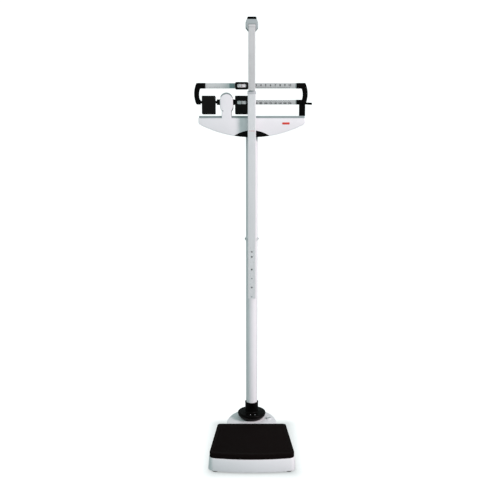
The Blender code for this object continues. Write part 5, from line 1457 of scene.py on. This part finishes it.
    def scales(self) -> None:
        """Draws both scales as thin raised marks: kilograms above, tens of kilograms below."""
        for bar, steps, figures, base, grows in (
            (self.upper, 100, [str(i) for i in range(11)], -1, 1),
            (self.lower, 40, [str(20 * i) for i in range(11)], 1, -1),
        ):
            marks = Form()
            face = -bar.half_depth
            edge = bar.z + base * (bar.height / 2 - (1.2 if base < 0 else 3.0))
            for i in range(steps + 1):
                x = self.zero + self.travel * i / steps
                whole, half = i % (steps // 10) == 0, i % (steps // 20) == 0
                length = self.mark_lengths[0 if whole else 1 if half else 2]
                thick = self.mark_widths[0 if whole else 1]
                low, high = sorted((edge, edge + grows * length))
                marks.box((x - thick / 2, face - self.mark_depth, low), (x + thick / 2, face + 0.05, high))
            for i, figure in enumerate(figures):
                at = self.zero + self.travel * i / 10
                level = edge + grows * (self.mark_lengths[0] + self.figure_gap)
                size = self.figure_sizes[0 if len(figure) < 3 else 1]
                marks.numeral(figure, size, (at, face + 0.02, level), self.mark_depth)
            self.bench.add(f"{bar.name}_scale", marks, "beam", INK)


@dataclass
class SlidingWeight:
    """A weight that straddles a bar, with a window over the bar's figures."""

    bench: Bench
    body: str
    bar: Bar
    low: float
    high: float
    half_depth: float
    window_z: float
    corner: float
    ease: float
    x: float = -43.2
    half: float = 28.3
    window: Point = (40.0, 14.5)
    lens_recess: float = 2.0
    lens_thickness: float = 1.5

    def build(self) -> None:
        """Builds the block, its lens, its white index plate and the index line."""
        self.bench.add(f"{self.body}_block", self.block(), self.body, CASTING, [self.body])
        face = -self.half_depth + self.lens_recess
        lens = Form().slab(self.pane(FIT), face, face + self.lens_thickness, Axis.Y, 0.3, 0.1)
        self.bench.add(f"{self.body}_window", lens, self.body, CLEAR, [f"{self.body}_lens"])
        plate_y = face + self.lens_thickness + 0.4
        plate = Form().slab(self.pane(0.4), plate_y, plate_y + 0.6, Axis.Y)
        half_h = self.window[1] / 2
        slot_w, slot_h = 1.6, 0.7 * half_h
        slot = panel((self.x - slot_w, self.window_z - slot_h), (self.x + slot_w, self.window_z + slot_h),
                     1.5)
        plate.cut(Form().slab(slot, plate_y - 3, plate_y + 3, Axis.Y))
        self.bench.add(f"{self.body}_index_plate", plate, self.body, WINDOW_WHITE)
        line = Form().box((self.x - 0.3, plate_y - 0.2, self.window_z - half_h + 0.6),
                          (self.x + 0.3, plate_y + 0.1, self.window_z + half_h - 0.6))
        self.bench.add(f"{self.body}_index_line", line, self.body, RED)

    def pane(self, clearance: float) -> Loop:
        """Returns the window's outline, shrunk by a clearance."""
        half_w, half_h = self.window[0] / 2 - clearance, self.window[1] / 2 - clearance
        return panel((self.x - half_w, self.window_z - half_h), (self.x + half_w, self.window_z + half_h),
                     5.0, 6)

    def block(self) -> Form:
        """Returns the block with its slot and its flared window."""
        loop = panel((self.x - self.half, self.low), (self.x + self.half, self.high), self.corner, 6)
        block = Form().slab(loop, -self.half_depth, self.half_depth, Axis.Y, self.ease, self.ease, 5)
        run = self.bar.height / 2 + 0.6
        deep = self.bar.half_depth + 0.6
        block.cut(Form().box((self.x - 40, -deep, self.bar.z - run), (self.x + 40, deep, self.bar.z + run)))
        face = -self.half_depth
        rings = [(-1.6, face - 1.0), (-0.6, face), (-0.15, face + 0.4), (0.0, face + 1.0), (0.0, 0.0)]
        cutter = Form().loft([[Axis.Y.point(x, z, y) for x, z in inset(self.pane(0), back)]
                              for back, y in rings])
        return block.cut(cutter)


@dataclass
class Poises:
    """Both sliding weights, the plunger of the main one and the tare weight."""

    bench: Bench
    beam: Beam
    bottom: float = 1447.5
    top: float = 1524.5
    half_depth: float = 25.0
    corner: float = 3.2
    ease: float = 2.2
    main_window: float = 1496.2
    fine_half: float = 15.3
    fine_depth: float = 11.0
    tare: Point = (-213.0, -155.7)
    tare_bore: float = 6.6

    def build(self) -> None:
        """Builds the weights."""
        upper = self.beam.upper
        SlidingWeight(
            self.bench, "fine_poise", upper, low=upper.z - self.fine_half, high=upper.z + self.fine_half,
            half_depth=self.fine_depth, window_z=upper.z, corner=6.5, ease=2.6,
        ).build()
        SlidingWeight(
            self.bench, "main_poise", self.beam.lower, low=self.bottom, high=self.top,
            half_depth=self.half_depth, window_z=self.main_window, corner=self.corner, ease=self.ease,
        ).build()
        self.bench.dress(STEEL, "poise_plunger")
        left, right = self.tare
        loop = panel((left, self.bottom), (right, self.top), self.corner, 6)
        weight = Form().slab(loop, -self.half_depth, self.half_depth, Axis.Y, self.ease, self.ease, 5)
        weight.cut(rod(self.tare_bore, left - 10, right + 10, (0, 0, FULCRUM_Z), Axis.X, steps=40))
        self.bench.add("tare_block", weight, "tare_weight", CASTING, ["tare_weight"])


# ---------------------------------------------------------------- height rod
@dataclass
class HeightRod:
    """The fixed profile on its spacers, the profile that slides in it, and the scale on that."""

    bench: Bench
    y: float = -65.3
    width: float = 34.5
    depth: float = 20.0
    wall: float = 1.8
    bottom: float = 652.0
    top: float = 1536.0
    inner_width: float = 29.0
    inner_depth: float = 14.5
    inner_wall: float = 1.6
    inner_bottom: float = 900.0
    inner_top: float = 1799.0
    holes: tuple[float, ...] = (860.0, 838.0, 782.0, 702.0)
    plugs: tuple[float, ...] = (742.0, 661.0)
    hole_radius: float = 3.6
    spacers: tuple[Point, Point] = ((665.0, 880.0), (1285.0, 1325.0))
    spacer_half: float = 11.0
    clamp_z: float = 907.0
    red_marks: Place = (-9.0, 0.0, 9.0)
    red_mark_z: float = 1376.0
    marks_from: float = 1230.0
    marks_count: int = 32
    highest_figure: int = 200

    def build(self) -> None:
        """Builds the profiles, the guide, the spacers, the clamp band and the marks."""
        front = self.y - self.depth / 2
        outer = self.profile(self.width, self.depth, self.wall, 2.0, 7.6, self.bottom, self.top)
        for z in self.holes + self.plugs:
            outer.cut(rod(self.hole_radius, front - 10, front + self.wall + 0.5, (0, 0, z), Axis.Y, steps=32))
        self.bench.add("rod_profile", outer, "stand", EXTRUSION, ["rod_outer"])
        for name, z in zip(("upper", "lower"), self.plugs):
            r = self.hole_radius - FIT
            plug = [(0, front + 1.3), (r, front + 1.3), (r, front + 0.6), (r - 0.5, front + 0.3),
                    (1.2, front + 0.3), (0.9, front + 0.6), (0, front + 0.6)]
            form = Form().turned(plug, (0, 0, z), Axis.Y, 32)
            self.bench.add(f"rod_plug_{name}_cap", form, "stand", HEAD_GREY, [f"rod_plug_{name}"])
        inner = self.profile(self.inner_width, self.inner_depth, self.inner_wall, 1.6, 5.6, self.inner_bottom,
                             self.inner_top)
        self.bench.add("sliding_profile", inner, "height_slide", EXTRUSION, ["rod_inner"])
        self.bench.add("height_scale", self.height_marks(), "height_slide", PALE_INK)
        self.bench.add("rod_mouth", self.guide(), "stand", MOUTH_GREY, ["rod_guide"])
        half = self.spacer_half
        for node, (low, high) in zip(("rod_bracket_lower", "rod_bracket_upper"), self.spacers):
            back = self.y + self.depth / 2 + FIT
            spacer = Form().box((-half, back, low), (half, -10, high), 1.2)
            spacer.cut(rod(TUBE_BORE, low - 10, high + 10, (0, 0, 0), Axis.Z, steps=96))
            self.bench.add(f"{node}_block", spacer, "stand", HEAD_GREY, [node])
        self.clamp()
        dashes = Form()
        z = self.red_mark_z
        for x in self.red_marks:
            dashes.box((x - 2.6, front - 0.25, z - 0.9), (x + 2.6, front + 0.1, z + 0.9), 0.1)
        self.bench.add("red_rod_marks", dashes, "stand", RED)

    def profile(self, width: float, depth: float, wall: float, corner: float, groove: float, low: float,
                high: float) -> Form:
        """Returns a hollow extrusion with two fine grooves down its front.

        Args:
            width: outer width.
            depth: outer depth.
            wall: wall thickness.
            corner: radius of its corners.
            groove: distance of each groove from the middle.
            low: where it starts.
            high: where it ends.

        Returns:
            The extrusion.
        """
        half_w, half_d = width / 2, depth / 2
        face = self.y - half_d
        corners = [(-half_w, face, corner)]
        for x in (-groove, groove):
            corners += [(x - 0.8, face, 0), (x - 0.5, face + 0.6, 0), (x + 0.5, face + 0.6, 0),
                        (x + 0.8, face, 0)]
        corners += [(half_w, face, corner), (half_w, self.y + half_d, corner),
                    (-half_w, self.y + half_d, corner)]
        tube = Form().slab(rounded(corners, 5), low, high, Axis.Z)
        hollow = panel((wall - half_w, face + wall), (half_w - wall, self.y + half_d - wall), 0.8)
        return tube.cut(Form().slab(hollow, low - 5, high + 5, Axis.Z))

    def height_marks(self) -> Form:
        """Returns the centimetre scale on the front of the sliding profile."""
        marks = Form()
        face = self.y - self.inner_depth / 2
        for i in range(self.marks_count):
            z = self.marks_from + 10 * i
            long = i % 5 == 0
            marks.box((4.4 if long else 7.0, face - 0.12, z - 0.2), (12.4, face + 0.05, z + 0.2))
            if i % 10 == 0:
                marks.numeral(str(self.highest_figure - i), 8.0, (-5.0, face + 0.03, z), 0.15)
        return marks

    def guide(self) -> Form:
        """Returns the collar at the mouth of the fixed profile."""
        half_w, half_d = self.width / 2 + 1.1, self.depth / 2 + 1.1
        loop = panel((-half_w, self.y - half_d), (half_w, self.y + half_d), 2.6)
        guide = Form().slab(loop, self.top - 8, self.top + 4, Axis.Z, 0.3, 0.9)
        way_w, way_d = self.inner_width / 2 + 0.6, self.inner_depth / 2 + 0.6
        way = panel((-way_w, self.y - way_d), (way_w, self.y + way_d), 0.6)
        guide.cut(Form().slab(way, self.top - 20, self.top + 20, Axis.Z))
        seat_w, seat_d = self.width / 2 + FIT, self.depth / 2 + FIT
        seat = panel((-seat_w, self.y - seat_d), (seat_w, self.y + seat_d), 1.6)
        return guide.cut(Form().slab(seat, self.top - 20, self.top + FIT, Axis.Z))

    def clamp(self) -> None:
        """Builds the band that holds the profile to the column, and its two bolts."""
        bore, z, half = TUBE_BORE, self.clamp_z, self.spacer_half
        section = [(bore, -6.5), (bore + 2.2, -6.5), (bore + 2.6, -6.0), (bore + 2.6, 6.0),
                   (bore + 2.2, 6.5), (bore, 6.5)]
        band = Form().turned(section, (0, 0, z), steps=96, joined=True)
        back = self.y + self.depth / 2 + FIT
        band.weld(Form().box((-half, back, z - 5.5), (half, -bore - 0.5, z + 5.5), 0.8))
        self.bench.add("clamp_band", band, "stand", EXTRUSION, ["rod_clamp_band"])
        for name, side in (("left", -1), ("right", 1)):
            head = rod(3.4, *sorted((side * 28.1, side * 30.8)), (0, 0, z), Axis.X, 0.4, steps=HEXAGON)
            self.bench.add(f"clamp_bolt_{name}", head, "stand", STEEL)


@dataclass
class MeasuringHead:
    """The head on the sliding profile, its cap and pin, and the tongue that folds down along the rod."""

    bench: Bench
    rod: HeightRod
    top: float = 1837.0
    bottom: float = 1783.0
    half: float = 26.0
    front: float = -87.5
    back: float = -43.5
    cap: float = 10.0
    cap_half: float = 19.5
    tongue_half: float = 14.5
    tongue_end: float = 1541.0
    hinge: Point = (-82.5, 1800.0)
    knuckle: float = 7.0

    def build(self) -> None:
        """Builds the head, the cap, the pin and the tongue."""
        self.bench.add("rod_head", self.head(), "height_slide", HEAD_GREY, ["measuring_head"])
        cap = [(-self.cap_half, self.top - self.cap + FIT, 0), (self.cap_half, self.top - self.cap + FIT, 0),
               (self.cap_half - 0.9, self.top, 5.0), (0.9 - self.cap_half, self.top, 5.0)]
        form = Form().slab(rounded(cap, 8), self.front + 2, self.back - 2, Axis.Y, 2.0, 2.0, 5)
        self.bench.add("rod_cap", form, "height_slide", BLACK, ["head_cap"])
        y, z = self.hinge
        pin = rod(2.5, 2 - self.half, self.half - 2, (0, y, z), Axis.X, 0.4)
        self.bench.add("hinge_pin", pin, "height_slide", STEEL, ["tongue_pin"])
        self.bench.add("folding_tongue", self.tongue(), "measuring_tongue", TONGUE_GREY, ["measuring_tongue"])

    def head(self) -> Form:
        """Returns the rounded head with its slot, socket and pin hole."""
        right = [(16.0, self.bottom, 3.6), (self.half, self.bottom + 12, 7.0),
                 (self.half, self.bottom + 30, 9.0), (21.0, self.top - self.cap, 3.6)]
        head = Form().slab(rounded(mirrored(right), 8), self.front, self.back, Axis.Y, 3.2, 3.2, 6)
        y, z = self.hinge
        slot = self.tongue_half + 0.6
        head.cut(Form().box((-slot, y - 30, self.bottom - 10),
                            (slot, y + self.knuckle + 0.6, z + self.knuckle + 0.6)))
        width, depth = self.rod.inner_width / 2 + FIT, self.rod.inner_depth / 2 + FIT
        head.cut(Form().box((-width, self.rod.y - depth, self.bottom - 10),
                            (width, self.rod.y + depth, self.rod.inner_top + FIT)))
        return head.cut(rod(2.8, -self.half - 5, self.half + 5, (0, y, z), Axis.X))

    def tongue(self) -> Form:
        """Returns the grooved tongue with its knuckle."""
        y, z = self.hinge
        front, back = y - 5, y + 4.5
        around = arc((y, z), self.knuckle, 25, 215, 20)
        section = [(back, z - 6)] + around + [(front, z - 9)]
        end = self.tongue_end
        section += [(front, end + 1.6), (front + 0.5, end + 0.5), (front + 1.6, end), (back - 1.2, end),
                    (back - 0.4, end + 0.4), (back, end + 1.2)]
        tongue = Form().slab(section, -self.tongue_half, self.tongue_half, Axis.X, 1.3, 1.3, 4)
        for x in (-5.0, 5.0):
            tongue.cut(Form().box((x - 0.6, front - 2, end - 5), (x + 0.6, front + 0.5, z - 14)))
        return tongue.cut(rod(3.1, -30, 30, (0, y, z), Axis.X, steps=32))


# ---------------------------------------------------------------- studio
@dataclass
class Studio:
    """Floor, light and camera."""

    camera: Place = (-7.7, -2992.0, 1346.0)
    tilt: float = 9.3
    lens: float = 49.15
    sensor: float = 36.0
    far_clip: float = 60.0
    key_place: Place = (3525.0, -2745.0, 2900.0)
    key_target: Place = (0.0, 0.0, 1000.0)
    key_size: float = 1200.0
    key_watts: float = 190.0
    key_colour: Place = (1.0, 0.81, 0.86)
    ambient: Place = (0.535, 0.635, 0.63)
    # painted contact shadow: the floor's camera-seen glow sits at its near value inside this box round the
    # scale and reaches its far value this reach beyond it
    footprint: Point = (0.15, 0.235)
    glow: Point = (0.38, 0.82)
    glow_reach: float = 0.07
    floor_half: float = 14.0
    floor_bend: float = 3.0
    floor_height: float = 9.0

    def build(self) -> None:
        """Sets up the studio."""
        bpy.context.scene.view_settings.view_transform = "Standard"
        paper = self.floor()
        self.world()
        key = self.key_light()
        unlit = bpy.data.collections.new("not_lit_by_key")
        unlit.objects.link(paper)
        key.light_linking.receiver_collection = unlit
        unlit.collection_objects[0].light_linking.link_state = "EXCLUDE"
        lens = bpy.data.cameras.new("studio_camera")
        lens.lens, lens.sensor_width, lens.clip_end = self.lens, self.sensor, self.far_clip
        camera = bpy.data.objects.new("studio_camera", lens)
        camera.matrix_world = (Matrix.Translation(COLUMN + Vector(self.camera) * MM)
                               @ Matrix.Rotation(math.radians(90 - self.tilt), 4, "X"))
        bpy.context.scene.collection.objects.link(camera)
        bpy.context.scene.camera = camera

    def floor(self) -> bpy.types.Object:
        """Lays a wide pale floor that curves up behind the scale."""
        form = bmesh.new()
        half, bend, height = self.floor_half, self.floor_bend, self.floor_height
        turns = [math.pi * i / 32 for i in range(1, 17)]
        profile = [(-half, 0.0), (bend, 0.0)]
        profile += [(bend + bend * math.sin(a), bend - bend * math.cos(a)) for a in turns]
        profile.append((2 * bend, height))
        rows = [[form.verts.new((x, y, z)) for x in (-half, half)] for y, z in profile]
        for near, far in zip(rows, rows[1:]):
            form.faces.new((near[0], near[1], far[1], far[0]))
        mesh = bpy.data.meshes.new("studio_floor")
        form.to_mesh(mesh)
        form.free()
        mesh.shade_smooth()
        floor = bpy.data.objects.new("studio_floor", mesh)
        bpy.context.scene.collection.objects.link(floor)
        mesh.materials.append(self.paper())
        return floor

    def paper(self) -> bpy.types.Material:
        """Returns the floor's white paper, glowing to clean white away from the scale, with a painted contact
        shadow where the glow dims near the scale.
        """
        made = PAPER.material()
        tree = made.node_tree
        shader = tree.nodes["Principled BSDF"]
        parts = tree.nodes.new("ShaderNodeSeparateXYZ")
        tree.links.new(tree.nodes.new("ShaderNodeTexCoord").outputs["Object"], parts.inputs["Vector"])
        squares = []
        for label, half in (("X", self.footprint[0]), ("Y", self.footprint[1])):
            away = Shading.reckon(tree, "ABSOLUTE", parts.outputs[label])
            beyond = Shading.reckon(tree, "SUBTRACT", away, half)
            kept = Shading.reckon(tree, "MAXIMUM", beyond, 0.0)
            squares.append(Shading.reckon(tree, "MULTIPLY", kept, kept))
        distance = Shading.reckon(tree, "SQRT", Shading.reckon(tree, "ADD", *squares))
        # painted shadow: the glow dims towards the scale's footprint, standing in for the soft contact shadow
        # under and round the base
        glow = Shading.spread(tree, distance, 0.0, self.glow_reach, *self.glow)
        seen = tree.nodes.new("ShaderNodeLightPath").outputs["Is Camera Ray"]
        tree.links.new(Shading.reckon(tree, "MULTIPLY", glow, seen), shader.inputs["Emission Strength"])
        shader.inputs["Emission Color"].default_value = (1, 1, 1, 1)
        return made

    def world(self) -> None:
        """Fills the room with even, slightly cool light."""
        world = bpy.data.worlds.new("studio_world")
        world.use_nodes = True
        background = world.node_tree.nodes["Background"]
        background.inputs["Color"].default_value = (*self.ambient, 1)
        background.inputs["Strength"].default_value = 1.0
        bpy.context.scene.world = world

    def key_light(self) -> bpy.types.Object:
        """Hangs the square soft light at the front right and returns it."""
        light = bpy.data.lights.new("key_light", "AREA")
        light.size, light.energy, light.color = self.key_size * MM, self.key_watts, self.key_colour
        lamp = bpy.data.objects.new("key_light", light)
        place = Vector(self.key_place)
        lamp.location = COLUMN + place * MM
        lamp.rotation_euler = (Vector(self.key_target) - place).to_track_quat("-Z", "Y").to_euler()
        bpy.context.scene.collection.objects.link(lamp)
        return lamp


def main() -> None:
    """Builds the scale sub-assembly by sub-assembly, then the studio."""
    bench = Bench()
    base = PlatformBase(bench)
    base.build()
    Tread(bench).build()
    LevellingFeet(bench).build(base)
    TransportWheels(bench).build(base)
    BubbleLevel(bench).build()
    Column(bench).build()
    HeadHousing(bench).build()
    BeamGuard(bench).build()
    beam = Beam(bench)
    beam.build()
    Poises(bench, beam).build()
    height_rod = HeightRod(bench)
    height_rod.build()
    MeasuringHead(bench, height_rod).build()
    Studio().build()


if __name__ == "__main__":
    main()
